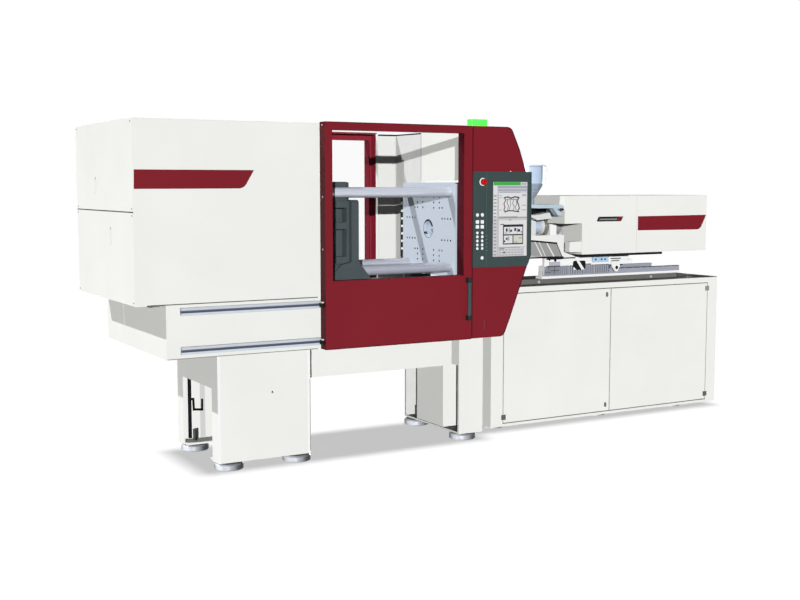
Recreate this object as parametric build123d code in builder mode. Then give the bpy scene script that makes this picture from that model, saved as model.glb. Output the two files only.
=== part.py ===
from build123d import *
import os
from math import radians, cos, sin

os.makedirs("parts", exist_ok=True)

# ---------------------------------------------------------------- dimensions
# millimetres; +X runs from the clamp end to the injection end, the operator
# stands on the -Y side, +Z is up and the floor is Z = 0
AXIS_Y = -160.0          # centre line of the clamp and of the plasticising screw
AXIS_Z = 1372.0          # its height above the floor

COVER_X0, COVER_X1 = -2260.0, -1110.0
COVER_Y0, COVER_Y1 = -580.0, 600.0
COVER_Z0, COVER_Z1 = 990.0, 2025.0
SHEET = 4.0

BED_X0, BED_X1 = -2084.0, 64.0
BED_Y0, BED_Y1 = -575.0, 235.0
BED_Z0, BED_Z1 = 680.0, 990.0

DOOR_X0, DOOR_X1 = -1142.0, -115.0
DOOR_Z0, DOOR_Z1 = 685.0, 2030.0
DOOR_FRONT, DOOR_BACK = -680.0, -610.0
DOOR_SKIN = 3.0
WINDOW_X0, WINDOW_X1 = -1094.0, -174.0
WINDOW_Z0, WINDOW_Z1 = 1094.0, 1983.0
REAR_DOOR_SHIFT_X = 28.0
REAR_DOOR_BACK, REAR_DOOR_FRONT = 633.0, 703.0

RAIL_X0, RAIL_X1 = -2003.0, -120.0
RAIL_Z = (729.0, 951.0)       # centre heights of the two door rails
RAIL_H, RAIL_D = 44.0, 26.0

PLATEN_FACE = -123.0          # mould face of the fixed platen
PLATEN_T = 160.0
PLATEN_W, PLATEN_H = 675.0, 612.0
BAR_R = 32.5
BAR_Y, BAR_Z = 260.0, 243.0   # tie bars, either side of the axis
MOVING_FACE = -823.0          # mould face of the moving platen, clamp open
BORE_R = 62.5                 # locating ring bore
BORE_DEPTH = 25.0
NOZZLE_HOLE_R = 55.0          # on through the platen
BOLT_GRID = 70.0

LINK_L = 255.0                # pivot to pivot, both main toggle links
PIVOT_Z = 310.0               # outer pivots above and below the axis
OPEN_ANGLE = 76.2             # link angle with the clamp fully open
END_PIVOT_X = -1275.0         # toggle pivot on the end platen
CROSS_L = 255.0
CROSS_AT = 115.0              # along the rear link
CROSS_Z = 50.0
KNEE_X = END_PIVOT_X + LINK_L * cos(radians(OPEN_ANGLE))
KNEE_Z = PIVOT_Z - LINK_L * sin(radians(OPEN_ANGLE))
MOVING_PIVOT_X = KNEE_X + LINK_L * cos(radians(OPEN_ANGLE))
EYE_X = END_PIVOT_X + CROSS_AT * cos(radians(OPEN_ANGLE))
EYE_Z = PIVOT_Z - CROSS_AT * sin(radians(OPEN_ANGLE))
CROSSHEAD_X = EYE_X - (CROSS_L ** 2 - (EYE_Z - CROSS_Z) ** 2) ** 0.5

CAB_X0, CAB_X1 = 209.0, 2260.0
CAB_Y0, CAB_Y1 = -430.0, 235.0
CAB_Z0, CAB_Z1 = 30.0, 978.0
SEAM_X = (313.0, 1236.0, 2160.0)
SEAM_Z = (55.0, 930.0)

HOOD_X0, HOOD_XM, HOOD_X1 = 796.0, 1441.0, 2114.0
HOOD_Y0, HOOD_Y1 = -450.0, 130.0
HOOD_Z0, HOOD_Z1 = 1181.0, 1588.0
HOPPER_X = 669.0


def save(builder, label):
    builder.part.label = label
    export_step(builder.part, f"parts/{label}.step")


def side(y):
    """Sketch plane seen from the operator side: local x is X, local y is Z,
    extrusions run towards -Y."""
    return Plane(origin=(0, y, 0), x_dir=(1, 0, 0), z_dir=(0, -1, 0))


def across(x):
    """Sketch plane across the machine: local x is Y, local y is Z,
    extrusions run towards +X."""
    return Plane(origin=(x, 0, 0), x_dir=(0, 1, 0), z_dir=(1, 0, 0))


def rect(a0, a1, b0, b1):
    """Axis-aligned rectangle between two corners, for the sketch in progress."""
    with Locations(((a0 + a1) / 2, (b0 + b1) / 2)):
        Rectangle(abs(a1 - a0), abs(b1 - b0))


def cut_rect(a0, a1, b0, b1):
    with Locations(((a0 + a1) / 2, (b0 + b1) / 2)):
        Rectangle(abs(a1 - a0), abs(b1 - b0), mode=Mode.SUBTRACT)


def block(x0, x1, y0, y1, z0, z1, mode=Mode.ADD):
    """Plain block between two corners, for the part in progress."""
    with BuildSketch(Plane.XY.offset(z0), mode=Mode.PRIVATE) as outline:
        rect(x0, x1, y0, y1)
    extrude(outline.sketch, amount=z1 - z0, mode=mode)


# ================================================================ bed and legs
with BuildPart() as clamp_bed:
    block(BED_X0, BED_X1, BED_Y0, BED_Y1, BED_Z0, BED_Z1)
    # parts drop through here, between the front and rear beams
    block(-960, -150, -395, 75, BED_Z0, BED_Z1, Mode.SUBTRACT)
    # hollow sections
    block(BED_X0 + 14, -980, BED_Y0 + 14, BED_Y1 - 14, BED_Z0 + 14, BED_Z1 - 20, Mode.SUBTRACT)
    block(-966, BED_X1 - 14, BED_Y0 + 14, -409, BED_Z0 + 14, BED_Z1 - 20, Mode.SUBTRACT)
    block(-966, BED_X1 - 14, 89, BED_Y1 - 14, BED_Z0 + 14, BED_Z1 - 20, Mode.SUBTRACT)
    # deeper beams under the mould area, front and rear
    block(-1186, -123, -460, -400, 490, BED_Z0)
    block(-1186, -123, 60, 118, 490, BED_Z0)
    # pads that carry the linear guides of the moving platen
    block(-1240, -300, -500, -460, BED_Z1, BED_Z1 + 8)
    block(-1240, -300, 140, 180, BED_Z1, BED_Z1 + 8)
save(clamp_bed, "clamp_bed")

with BuildPart() as service_housing:
    block(BED_X0, BED_X1, 241, 595, BED_Z0, BED_Z1)
    block(BED_X0 + 4, BED_X1 - 4, 245, 591, BED_Z0 + 4, BED_Z1 - 4, Mode.SUBTRACT)
    block(BED_X0 + 60, BED_X1 - 60, 235, 241, BED_Z0 + 30, BED_Z1 - 30)
save(service_housing, "service_housing")

with BuildPart() as left_pedestal:
    block(-1777, -1186, -550, 150, 45, BED_Z0)
    # hollow inside, open underneath between the corner plates
    block(-1767, -1196, -540, 140, 57, BED_Z0 - 12, Mode.SUBTRACT)
    block(-1560, -1380, -540, 140, 45, 57, Mode.SUBTRACT)
    block(-1767, -1196, -395, 15, 45, 57, Mode.SUBTRACT)
    # portal in the end plate
    with BuildSketch(across(-1777)) as portal:
        rect(-453, 53, 57, 477)
        fillet(portal.vertices().group_by(Axis.Y)[-1], 6)
    extrude(amount=10, mode=Mode.SUBTRACT)
    block(-1777, -1767, -453, 53, 45, 57, Mode.SUBTRACT)
    # small hole in the front panel
    with BuildSketch(side(-540)):
        with Locations((-1433, 440)):
            Circle(7)
    extrude(amount=10, mode=Mode.SUBTRACT)
    # clearance for the levelling screws
    with Locations((-1690, -490, 51), (-1254, -490, 51), (-1690, 90, 51), (-1254, 90, 51)):
        Cylinder(14, 12, mode=Mode.SUBTRACT)
save(left_pedestal, "left_pedestal")

with BuildPart() as middle_leg:
    block(-123, 62, -550, -535, 45, BED_Z0)             # front plate
    block(-123, 62, -535, -460, 497, BED_Z0)            # closed top of the front pocket
    block(-120, 62, -350, -13, 45, BED_Z0)              # central box section
    block(-123, 62, -13, 133, 497, BED_Z0)
    block(-123, 62, 133, 150, 45, BED_Z0)               # rear plate
    block(-123, 62, -535, -350, 45, 57)                 # pocket floors
    block(-123, 62, -13, 133, 45, 57)
    block(50, 62, -535, -350, 57, 497)                  # pocket backs
    block(50, 62, -13, 133, 57, 497)
    block(-110, 50, -340, -23, 57, 668, Mode.SUBTRACT)
    with Locations((-45, -470, 51), (-72, 75, 51)):
        Cylinder(14, 12, mode=Mode.SUBTRACT)
save(middle_leg, "middle_leg")

# levelling mounts: a round pad on the floor and a screw up into the leg
FEET = [(-1690, -490), (-1254, -490), (-1690, 90), (-1254, 90), (-45, -470), (-72, 75)]
CAB_FEET = [(330, -265), (330, 150), (1236, -265), (1236, 150), (1965, -265), (1965, 150)]
with BuildPart() as levelling_feet:
    with BuildSketch(Plane.XZ):
        with BuildLine():
            Polyline((0, 0), (82, 0), (86, 5), (86, 30), (78, 38), (24, 40), (24, 45),
                     (12, 45), (12, 128), (0, 128), close=True)
        make_face()
    revolve(axis=Axis.Z)
    foot = levelling_feet.part
with BuildPart() as levelling_feet:
    for fx, fy in FEET:
        add(foot.moved(Location((fx, fy, 0))))
    with Locations(*[(x, y, 0) for x, y in CAB_FEET]):
        Cylinder(75, 24, align=(Align.CENTER, Align.CENTER, Align.MIN))
        Cylinder(20, 30, align=(Align.CENTER, Align.CENTER, Align.MIN))
        Cylinder(10, 70, align=(Align.CENTER, Align.CENTER, Align.MIN))
save(levelling_feet, "levelling_feet")

# ================================================================ clamp cover
with BuildPart() as clamp_cover:
    with BuildSketch(across(COVER_X0 + SHEET)) as s:
        rect(COVER_Y0, COVER_Y1, COVER_Z0, COVER_Z1)
        fillet(s.vertices().group_by(Axis.Y)[-1], 10)
        cut_rect(COVER_Y0 + SHEET, COVER_Y1 - SHEET, COVER_Z0, COVER_Z1 - SHEET)
    extrude(amount=COVER_X1 - COVER_X0 - SHEET)
save(clamp_cover, "clamp_cover")


def end_cover(z0, z1, grip_y, grip_z):
    """End panel of the clamp cover with a returned edge and a recessed grip."""
    with BuildPart() as panel:
        with BuildSketch(across(COVER_X0)) as s:
            rect(COVER_Y0, COVER_Y1, z0, z1)
            if z1 > 2000:
                fillet(s.vertices().group_by(Axis.Y)[-1], 10)
        extrude(amount=SHEET)
        with BuildSketch(across(COVER_X0)):
            with Locations((grip_y, grip_z)):
                SlotOverall(105, 42, rotation=90)
        extrude(amount=SHEET, mode=Mode.SUBTRACT)
        with BuildSketch(across(COVER_X0 + SHEET)):
            with Locations((grip_y, grip_z)):
                SlotOverall(113, 50, rotation=90)
        extrude(amount=22)
        with BuildSketch(across(COVER_X0 + SHEET)):
            with Locations((grip_y, grip_z)):
                SlotOverall(105, 42, rotation=90)
        extrude(amount=19, mode=Mode.SUBTRACT)
    return panel


cover_end_upper = end_cover(1512, COVER_Z1, 162, 1654)
save(cover_end_upper, "cover_end_upper")
cover_end_lower = end_cover(992, 1509, -133, 1365)
save(cover_end_lower, "cover_end_lower")

# ================================================================ door rails
with BuildPart() as door_rails:
    for zc in RAIL_Z:
        for y_wall, y_face in ((BED_Y0, BED_Y0 - RAIL_D), (595, 595 + RAIL_D)):
            y0, y1 = min(y_wall, y_face), max(y_wall, y_face)
            g0, g1 = (y0, y0 + 16) if y_face < y_wall else (y1 - 16, y1)
            with BuildSketch(across(RAIL_X0)):
                rect(y0, y1, zc - RAIL_H / 2, zc + RAIL_H / 2)
                cut_rect(g0, g1, zc - 8, zc + 8)
            extrude(amount=RAIL_X1 - RAIL_X0)
save(door_rails, "door_rails")


# ================================================================ sliding doors
def door_frame(shift, front, back):
    """Folded door: a skin with returned edges round the outside and the window."""
    out = 1 if back > front else -1          # from the skin into the machine
    y_near = front + out * DOOR_SKIN
    x0, x1 = DOOR_X0 + shift, DOOR_X1 + shift
    w0, w1 = WINDOW_X0 + shift, WINDOW_X1 + shift
    ya, yb = min(front, back), max(front, back)
    pa, pb = min(y_near, back), max(y_near, back)
    t = DOOR_SKIN
    with BuildPart() as door:
        with BuildSketch(side(yb)) as s:
            rect(x0, x1, DOOR_Z0, DOOR_Z1)
            fillet(s.vertices(), 4)
            cut_rect(w0, w1, WINDOW_Z0, WINDOW_Z1)
        extrude(amount=yb - ya)
        with BuildSketch(side(pb)):
            rect(x0 + t, x1 - t, DOOR_Z0 + t, DOOR_Z1 - t)
            cut_rect(w0 - t, w1 + t, WINDOW_Z0 - t, WINDOW_Z1 + t)
        extrude(amount=pb - pa, mode=Mode.SUBTRACT)
        # guide tongues that run in the rail grooves
        tip = back + out * 21
        ta, tb = min(y_near, tip), max(y_near, tip)
        for zc in RAIL_Z:
            for xa, xb in ((x0 + 40, x0 + 120), (x1 - 120, x1 - 40)):
                block(xa, xb, ta, tb, zc - 6, zc + 6)
    return door


front_door = door_frame(0, DOOR_FRONT, DOOR_BACK)
save(front_door, "front_door")

rear_door = door_frame(REAR_DOOR_SHIFT_X, REAR_DOOR_FRONT, REAR_DOOR_BACK)
with BuildPart() as rear_door_full:
    add(rear_door.part)
    # folded grip on the free edge
    block(DOOR_X1 - 50, DOOR_X1 - 44, REAR_DOOR_FRONT, 725, 810, 1080)
    block(DOOR_X1 - 50, DOOR_X1 - 20, 722, 725, 810, 1080)
save(rear_door_full, "rear_door")


def pane(shift, y0, y1):
    with BuildPart() as glass:
        with BuildSketch(side(y1)):
            rect(WINDOW_X0 + shift - 2.9, WINDOW_X1 + shift + 2.9, WINDOW_Z0 - 2.9, WINDOW_Z1 + 2.9)
        extrude(amount=y1 - y0)
    return glass


# the panes lie behind the returned edges of the window
with BuildPart() as front_window:
    with BuildSketch(side(DOOR_BACK + 5)):
        rect(WINDOW_X0 - 14, WINDOW_X1 + 14, WINDOW_Z0 - 14, WINDOW_Z1 + 14)
    extrude(amount=5)
save(front_window, "front_window")

with BuildPart() as rear_window:
    with BuildSketch(side(REAR_DOOR_BACK)):
        rect(WINDOW_X0 + REAR_DOOR_SHIFT_X - 14, WINDOW_X1 + REAR_DOOR_SHIFT_X + 14,
             WINDOW_Z0 - 14, WINDOW_Z1 + 14)
    extrude(amount=5)
save(rear_window, "rear_window")

with BuildPart() as front_handle:
    with BuildSketch(Plane.XY.offset(809)) as s:
        rect(-159, -136, -716, DOOR_FRONT)
        fillet(s.vertices().group_by(Axis.Y)[0], 6)
        cut_rect(-153, -142, -706, DOOR_FRONT)
    extrude(amount=270)
    # gap between grip and door, leaving a foot at each end
    block(-162, -133, -703, DOOR_FRONT, 839, 1049, Mode.SUBTRACT)
save(front_handle, "front_handle")

# ================================================================ fixed guards
GUARD = [(-112, 688), (104, 688), (122, 691), (134, 699), (146, 716), (184, 804),
         (261, 1002), (315, 1137), (338, 1195), (299, 1749), (250, 1886), (196, 2000),
         (186, 2016), (170, 2026), (150, 2030), (-112, 2030)]
with BuildPart() as fixed_guard:
    with BuildSketch(side(DOOR_BACK)):
        with BuildLine():
            Polyline(*GUARD, close=True)
        make_face()
    extrude(amount=DOOR_BACK - DOOR_FRONT)
    with BuildSketch(side(DOOR_BACK)):
        with BuildLine():
            Polyline(*GUARD, close=True)
        make_face()
        offset(amount=-DOOR_SKIN)
    extrude(amount=DOOR_BACK - DOOR_FRONT - DOOR_SKIN, mode=Mode.SUBTRACT)
    # opening for the control panel
    block(-78, 340, DOOR_FRONT, DOOR_BACK, 1158, 1732, Mode.SUBTRACT)
    # frame round that opening
    block(-84, -78, DOOR_FRONT + DOOR_SKIN, DOOR_BACK, 1152, 1738)
    block(-84, 300, DOOR_FRONT + DOOR_SKIN, DOOR_BACK, 1732, 1738)
    block(-84, 322, DOOR_FRONT + DOOR_SKIN, DOOR_BACK, 1152, 1158)
    # brackets to the bed, and the shelf the beacon stands on
    block(-100, -40, DOOR_FRONT + 2, BED_Y0, 700, 960)
    block(0, 60, DOOR_FRONT + 2, BED_Y0, 700, 960)
    block(-80, 100, DOOR_BACK - 4, -520, 2026, 2030)
    # tie back to the guard wall, above the platen
    block(48, 60, DOOR_FRONT + 2, -570, 1760, 2026)
save(fixed_guard, "fixed_guard")

with BuildPart() as rear_guard:
    # wall across the machine, open where the fixed platen and barrel stand
    with BuildSketch(across(61)):
        rect(-575, 600, BED_Z1, 2026)
        cut_rect(-520, 200, BED_Z1, 1692)
    extrude(amount=4)
    # folded forward along the rear side, up to the door
    with BuildSketch(Plane.XY.offset(BED_Z1)):
        with BuildLine():
            Polyline((-107, 600), (-107, 572), (-104, 572), (-104, 597), (61, 597), (61, 600), close=True)
        make_face()
    extrude(amount=2026 - BED_Z1)
save(rear_guard, "rear_guard")

# ================================================================ control panel
with BuildPart() as panel_housing:
    with BuildSketch(side(-680)):
        with BuildLine():
            Polyline((-112, 1141), (308, 1138), (345, 1208), (345, 1746), (-112, 1746), close=True)
        make_face()
    extrude(amount=10)
    chamfer(panel_housing.faces().sort_by(Axis.Y)[0].edges().sort_by(Axis.X)[-1], length=9, length2=24)
    block(-76, 326, -680, -622, 1160, 1730)
    # recess for the screen
    block(38, 304, -690, -684, 1205, 1681, Mode.SUBTRACT)
    # collar of the emergency stop
    with BuildSketch(side(-690)):
        with Locations((-48, 1681)):
            Circle(27)
    extrude(amount=8)
    with BuildSketch(side(-640)):
        with Locations((-48, 1681)):
            Circle(10.3)
    extrude(amount=60, mode=Mode.SUBTRACT)
save(panel_housing, "panel_housing")

with BuildPart() as screen:
    block(38.2, 303.8, -690, -684, 1205.2, 1680.8)
save(screen, "screen")

with BuildPart() as panel_keys:
    with BuildSketch(side(-690)):
        with Locations((-81, 1473), (-44, 1473)):
            Circle(11)
        with Locations((-81, 1429), (-44, 1429), (-81, 1398), (-44, 1398)):
            RectangleRounded(24, 22, 3)
        with Locations(*[(x, z) for x in (-81, -44) for z in (1360, 1335, 1309, 1284, 1261)]):
            Circle(9)
        with Locations((-44, 1201)):
            Circle(11)
    extrude(amount=2)
save(panel_keys, "panel_keys")

with BuildPart() as e_stop:
    with BuildSketch(Plane(origin=(-48, -704, 1681), x_dir=(1, 0, 0), z_dir=(0, -1, 0))):
        Circle(19)
    extrude(amount=21)
    fillet(e_stop.faces().sort_by(Axis.Y)[0].edges(), 7)
    with BuildSketch(Plane(origin=(-48, -650, 1681), x_dir=(1, 0, 0), z_dir=(0, -1, 0))):
        Circle(10.25)
    extrude(amount=54)
save(e_stop, "e_stop")

with BuildPart() as beacon:
    with BuildSketch(Plane.XY.offset(2030)) as s:
        rect(-62, 60, -590, -534)
        fillet(s.vertices(), 6)
    extrude(amount=48)
save(beacon, "beacon")

# ================================================================ clamp unit
BAR_POS = [(AXIS_Y + a * BAR_Y, AXIS_Z + b * BAR_Z) for a in (-1, 1) for b in (-1, 1)]
GRID_HOLES = []
for sy in (-1, 1):
    for sz in (-1, 1):
        GRID_HOLES += [(sy * y, sz * 70) for y in (175, 210, 245, 280)]
        GRID_HOLES += [(sy * y, sz * 140) for y in (70, 140, 175)]
        GRID_HOLES += [(sy * y, sz * 175) for y in (70, 140)]
        GRID_HOLES += [(sy * y, sz * 210) for y in (70, 140)]

with BuildPart() as fixed_platen:
    with BuildSketch(across(PLATEN_FACE)) as s:
        with Locations((AXIS_Y, AXIS_Z)):
            Rectangle(PLATEN_W, PLATEN_H)
        fillet(s.vertices(), 12)
        with Locations((AXIS_Y, AXIS_Z)):
            Circle(NOZZLE_HOLE_R, mode=Mode.SUBTRACT)
        with Locations(*BAR_POS):
            Circle(BAR_R, mode=Mode.SUBTRACT)
    extrude(amount=PLATEN_T)
    with BuildSketch(across(PLATEN_FACE)):
        with Locations((AXIS_Y, AXIS_Z)):
            Circle(BORE_R)
    extrude(amount=BORE_DEPTH, mode=Mode.SUBTRACT)
    # feet on the bed
    block(-120, 34, AXIS_Y - 325, AXIS_Y - 225, BED_Z1, 1078)
    block(-120, 34, AXIS_Y + 225, AXIS_Y + 325, BED_Z1, 1078)
    with BuildSketch(across(PLATEN_FACE)):
        with Locations(*[(AXIS_Y + a, AXIS_Z + b) for a, b in GRID_HOLES]):
            Circle(7)
    extrude(amount=36, mode=Mode.SUBTRACT)
save(fixed_platen, "fixed_platen")

with BuildPart() as tie_bars:
    with BuildSketch(across(-1765)):
        with Locations(*BAR_POS):
            Circle(BAR_R)
    extrude(amount=1765 + 107)
save(tie_bars, "tie_bars")

with BuildPart() as tie_bar_nuts:
    for x0, length in ((PLATEN_FACE + PLATEN_T, 56), (-1746, 66)):
        with BuildSketch(across(x0)):
            with Locations(*BAR_POS):
                Circle(54)
            with Locations(*BAR_POS):
                Circle(BAR_R, mode=Mode.SUBTRACT)
        extrude(amount=length)
save(tie_bar_nuts, "tie_bar_nuts")

with BuildPart() as water_manifold:
    block(PLATEN_FACE + 4, PLATEN_FACE + 44, 178, 220, 1175, 1578)
    with BuildSketch(across(PLATEN_FACE - 6)):
        with Locations(*[(187, 1535 - 52 * i) for i in range(7)]):
            Circle(8)
        with Locations(*[(187, 1535 - 52 * i) for i in range(7)]):
            Circle(4.5, mode=Mode.SUBTRACT)
    extrude(amount=10)
save(water_manifold, "water_manifold")

with BuildPart() as end_platen:
    with BuildSketch(across(-1680)) as s:
        with Locations((AXIS_Y, AXIS_Z)):
            Rectangle(PLATEN_W, 730)
        fillet(s.vertices(), 20)
        with Locations(*BAR_POS):
            Circle(BAR_R, mode=Mode.SUBTRACT)
        with Locations((AXIS_Y, AXIS_Z)):
            Circle(60, mode=Mode.SUBTRACT)
    extrude(amount=150)
    # lugs that carry the rear toggle links
    for sz in (-1, 1):
        for ya, yb in ((-114, -80), (80, 114)):
            with BuildSketch(side(AXIS_Y + yb)):
                with BuildLine():
                    zc = AXIS_Z + sz * PIVOT_Z
                    Polyline((-1532, zc - 38), (END_PIVOT_X, zc - 38), (END_PIVOT_X, zc + 38),
                             (-1532, zc + 38), close=True)
                make_face()
                with Locations((END_PIVOT_X, AXIS_Z + sz * PIVOT_Z)):
                    Circle(38)
                with Locations((END_PIVOT_X, AXIS_Z + sz * PIVOT_Z)):
                    Circle(22.04, mode=Mode.SUBTRACT)
            extrude(amount=yb - ya)
    # feet on the bed
    block(-1670, -1540, AXIS_Y - 325, AXIS_Y - 225, BED_Z1, 1020)
    block(-1670, -1540, AXIS_Y + 225, AXIS_Y + 325, BED_Z1, 1020)
save(end_platen, "end_platen")

with BuildPart() as platen_rails:
    for y0 in (-495, 145):
        with BuildSketch(across(-1235)):
            rect(y0, y0 + 30, BED_Z1 + 8, 1024)
            cut_rect(y0, y0 + 4, 1006, 1014)
            cut_rect(y0 + 26, y0 + 30, 1006, 1014)
        extrude(amount=930)
save(platen_rails, "platen_rails")

with BuildPart() as moving_platen:
    # mould plate, cut back at the corners round the tie bars
    with BuildSketch(across(MOVING_FACE - 50)) as s:
        with Locations((AXIS_Y, AXIS_Z)):
            Rectangle(PLATEN_W - 5, 396)
        with Locations((AXIS_Y, AXIS_Z)):
            Rectangle(400, PLATEN_H)
        fillet(s.vertices().group_by(Axis.X)[0] + s.vertices().group_by(Axis.X)[-1], 22)
    extrude(amount=50)
    # ribbed box behind it
    with BuildSketch(across(-1000)):
        with Locations((AXIS_Y, AXIS_Z)):
            Rectangle(400, 560)
    extrude(amount=128)
    # tie bar bosses
    with BuildSketch(across(-985)):
        with Locations(*BAR_POS):
            Circle(66)
        for a in (-1, 1):
            for b in (-1, 1):
                rect(AXIS_Y + a * 190, AXIS_Y + a * 262, AXIS_Z + b * 190, AXIS_Z + b * 300)
    extrude(amount=118)
    with BuildSketch(across(-1001)):
        with Locations(*BAR_POS):
            Circle(BAR_R + 0.6)
    extrude(amount=400, mode=Mode.SUBTRACT)
    # the upper front corner stays behind its tie bar
    block(-1001, -872.5, -496, AXIS_Y - BAR_Y, 1563, 1720, Mode.SUBTRACT)
    block(-873, -860, -496, AXIS_Y - BAR_Y, 1571, 1720, Mode.SUBTRACT)
    # side webs between the bosses, with long pockets
    for a in (-1, 1):
        ya, yb = sorted((AXIS_Y + a * 200, AXIS_Y + a * 300))
        block(-960, -870, ya, yb, AXIS_Z - 190, AXIS_Z + 190)
        pa, pb = sorted((AXIS_Y + a * 238, AXIS_Y + a * 300))
        block(-960, -890, pa, pb, AXIS_Z - 150, AXIS_Z + 20, Mode.SUBTRACT)
        block(-960, -890, pa, pb, AXIS_Z + 60, AXIS_Z + 150, Mode.SUBTRACT)
    # feet that reach down in front of the tie bars to the linear guides
    for a in (-1, 1):
        ya, yb = sorted((AXIS_Y + a * 299, AXIS_Y + a * 335))
        with BuildSketch(side(yb)):
            with BuildLine():
                Polyline((-1010, 1056), (-700, 1056), (-700, 1066), (-743, 1090), (MOVING_FACE, 1190),
                         (-870, 1190), (-940, 1175), (-1010, 1110), close=True)
            make_face()
        extrude(amount=yb - ya)
    # toggle lugs
    for sz in (-1, 1):
        for ya, yb in ((-60, -26), (26, 60)):
            with BuildSketch(side(AXIS_Y + yb)):
                zc = AXIS_Z + sz * PIVOT_Z
                with BuildLine():
                    Polyline((MOVING_PIVOT_X, zc - 34), (-996, AXIS_Z + sz * 270 - 34),
                             (-996, AXIS_Z + sz * 270 + 8), (MOVING_PIVOT_X, zc + 34), close=True)
                make_face()
                with Locations((MOVING_PIVOT_X, zc)):
                    Circle(34)
                with Locations((MOVING_PIVOT_X, zc)):
                    Circle(20.04, mode=Mode.SUBTRACT)
            extrude(amount=yb - ya)
    # ejector chamber and the bores for its rods
    block(-1001, -875, AXIS_Y - 120, AXIS_Y + 120, AXIS_Z - 100, AXIS_Z + 100, Mode.SUBTRACT)
    with BuildSketch(across(-880)):
        with Locations((AXIS_Y, AXIS_Z)):
            Circle(18)
        with Locations((AXIS_Y - 70, AXIS_Z), (AXIS_Y + 70, AXIS_Z)):
            Circle(13)
    extrude(amount=60, mode=Mode.SUBTRACT)
    with BuildSketch(across(MOVING_FACE - 36)):
        with Locations(*[(AXIS_Y + a, AXIS_Z + b) for a, b in GRID_HOLES]):
            Circle(7)
    extrude(amount=36, mode=Mode.SUBTRACT)
save(moving_platen, "moving_platen")

with BuildPart() as platen_shoes:
    for y0 in (-495, 145):
        for x0 in (-1000, -800):
            with BuildSketch(across(x0)):
                rect(y0 - 1, y0 + 31, 1002, 1056)
                cut_rect(y0 - 0.6, y0 + 30.6, 1002, 1024.6)
            extrude(amount=90)
            with BuildSketch(across(x0)):
                rect(y0 - 15, y0 - 0.6, 1002, 1050)
                rect(y0 + 30.6, y0 + 45, 1002, 1050)
            extrude(amount=90)
save(platen_shoes, "platen_shoes")

with BuildPart() as ejector:
    block(-985, -965, AXIS_Y - 95, AXIS_Y + 95, AXIS_Z - 60, AXIS_Z + 60)
    with BuildSketch(across(-966)):
        with Locations((AXIS_Y, AXIS_Z)):
            Circle(17.4)
        with Locations((AXIS_Y - 70, AXIS_Z), (AXIS_Y + 70, AXIS_Z)):
            Circle(12.4)
    extrude(amount=966 + MOVING_FACE - 2)
save(ejector, "ejector")


# ================================================================ toggle
def bar_profile(x0, z0, x1, z1, half, r0, r1):
    """Link outline: two eyes joined by a straight bar, in the sketch in progress."""
    length = ((x1 - x0) ** 2 + (z1 - z0) ** 2) ** 0.5
    nx, nz = -(z1 - z0) / length * half, (x1 - x0) / length * half
    with BuildLine(mode=Mode.PRIVATE) as outline:
        Polyline((x0 + nx, z0 + nz), (x1 + nx, z1 + nz), (x1 - nx, z1 - nz), (x0 - nx, z0 - nz), close=True)
    make_face(outline.edges())
    with Locations((x0, z0)):
        Circle(r0)
    with Locations((x1, z1)):
        Circle(r1)


def rear_link(sz):
    """Twin-plate link with the journals that turn in the end platen's lugs."""
    with BuildPart() as link:
        for ya, yb in ((-76, -50), (50, 76)):
            with BuildSketch(side(AXIS_Y + yb)):
                bar_profile(END_PIVOT_X, AXIS_Z + sz * PIVOT_Z, KNEE_X, AXIS_Z + sz * KNEE_Z, 24, 34, 28)
            extrude(amount=yb - ya)
        with BuildSketch(side(AXIS_Y + 114)):
            with Locations((END_PIVOT_X, AXIS_Z + sz * PIVOT_Z)):
                Circle(22)
        extrude(amount=228)
    return link


def front_link(sz):
    with BuildPart() as link:
        with BuildSketch(side(AXIS_Y + 22)):
            bar_profile(MOVING_PIVOT_X, AXIS_Z + sz * PIVOT_Z, KNEE_X + 3, AXIS_Z + sz * (KNEE_Z + 1), 22, 30, 27)
        extrude(amount=44)
        with BuildSketch(side(AXIS_Y + 60)):
            with Locations((MOVING_PIVOT_X, AXIS_Z + sz * PIVOT_Z)):
                Circle(20)
        extrude(amount=120)
    return link


def cross_link(sz):
    with BuildPart() as link:
        for ya, yb in ((-44, -28), (28, 44)):
            with BuildSketch(side(AXIS_Y + yb)):
                bar_profile(CROSSHEAD_X, AXIS_Z + sz * CROSS_Z, EYE_X, AXIS_Z + sz * EYE_Z, 14, 20, 20)
            extrude(amount=yb - ya)
        with BuildSketch(side(AXIS_Y + 66)):
            with Locations((CROSSHEAD_X, AXIS_Z + sz * CROSS_Z)):
                Circle(14)
        extrude(amount=132)
    return link


rear_link_upper = rear_link(1)
save(rear_link_upper, "rear_link_upper")
rear_link_lower = rear_link(-1)
save(rear_link_lower, "rear_link_lower")
front_link_upper = front_link(1)
save(front_link_upper, "front_link_upper")
front_link_lower = front_link(-1)
save(front_link_lower, "front_link_lower")
cross_link_upper = cross_link(1)
save(cross_link_upper, "cross_link_upper")
cross_link_lower = cross_link(-1)
save(cross_link_lower, "cross_link_lower")

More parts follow.
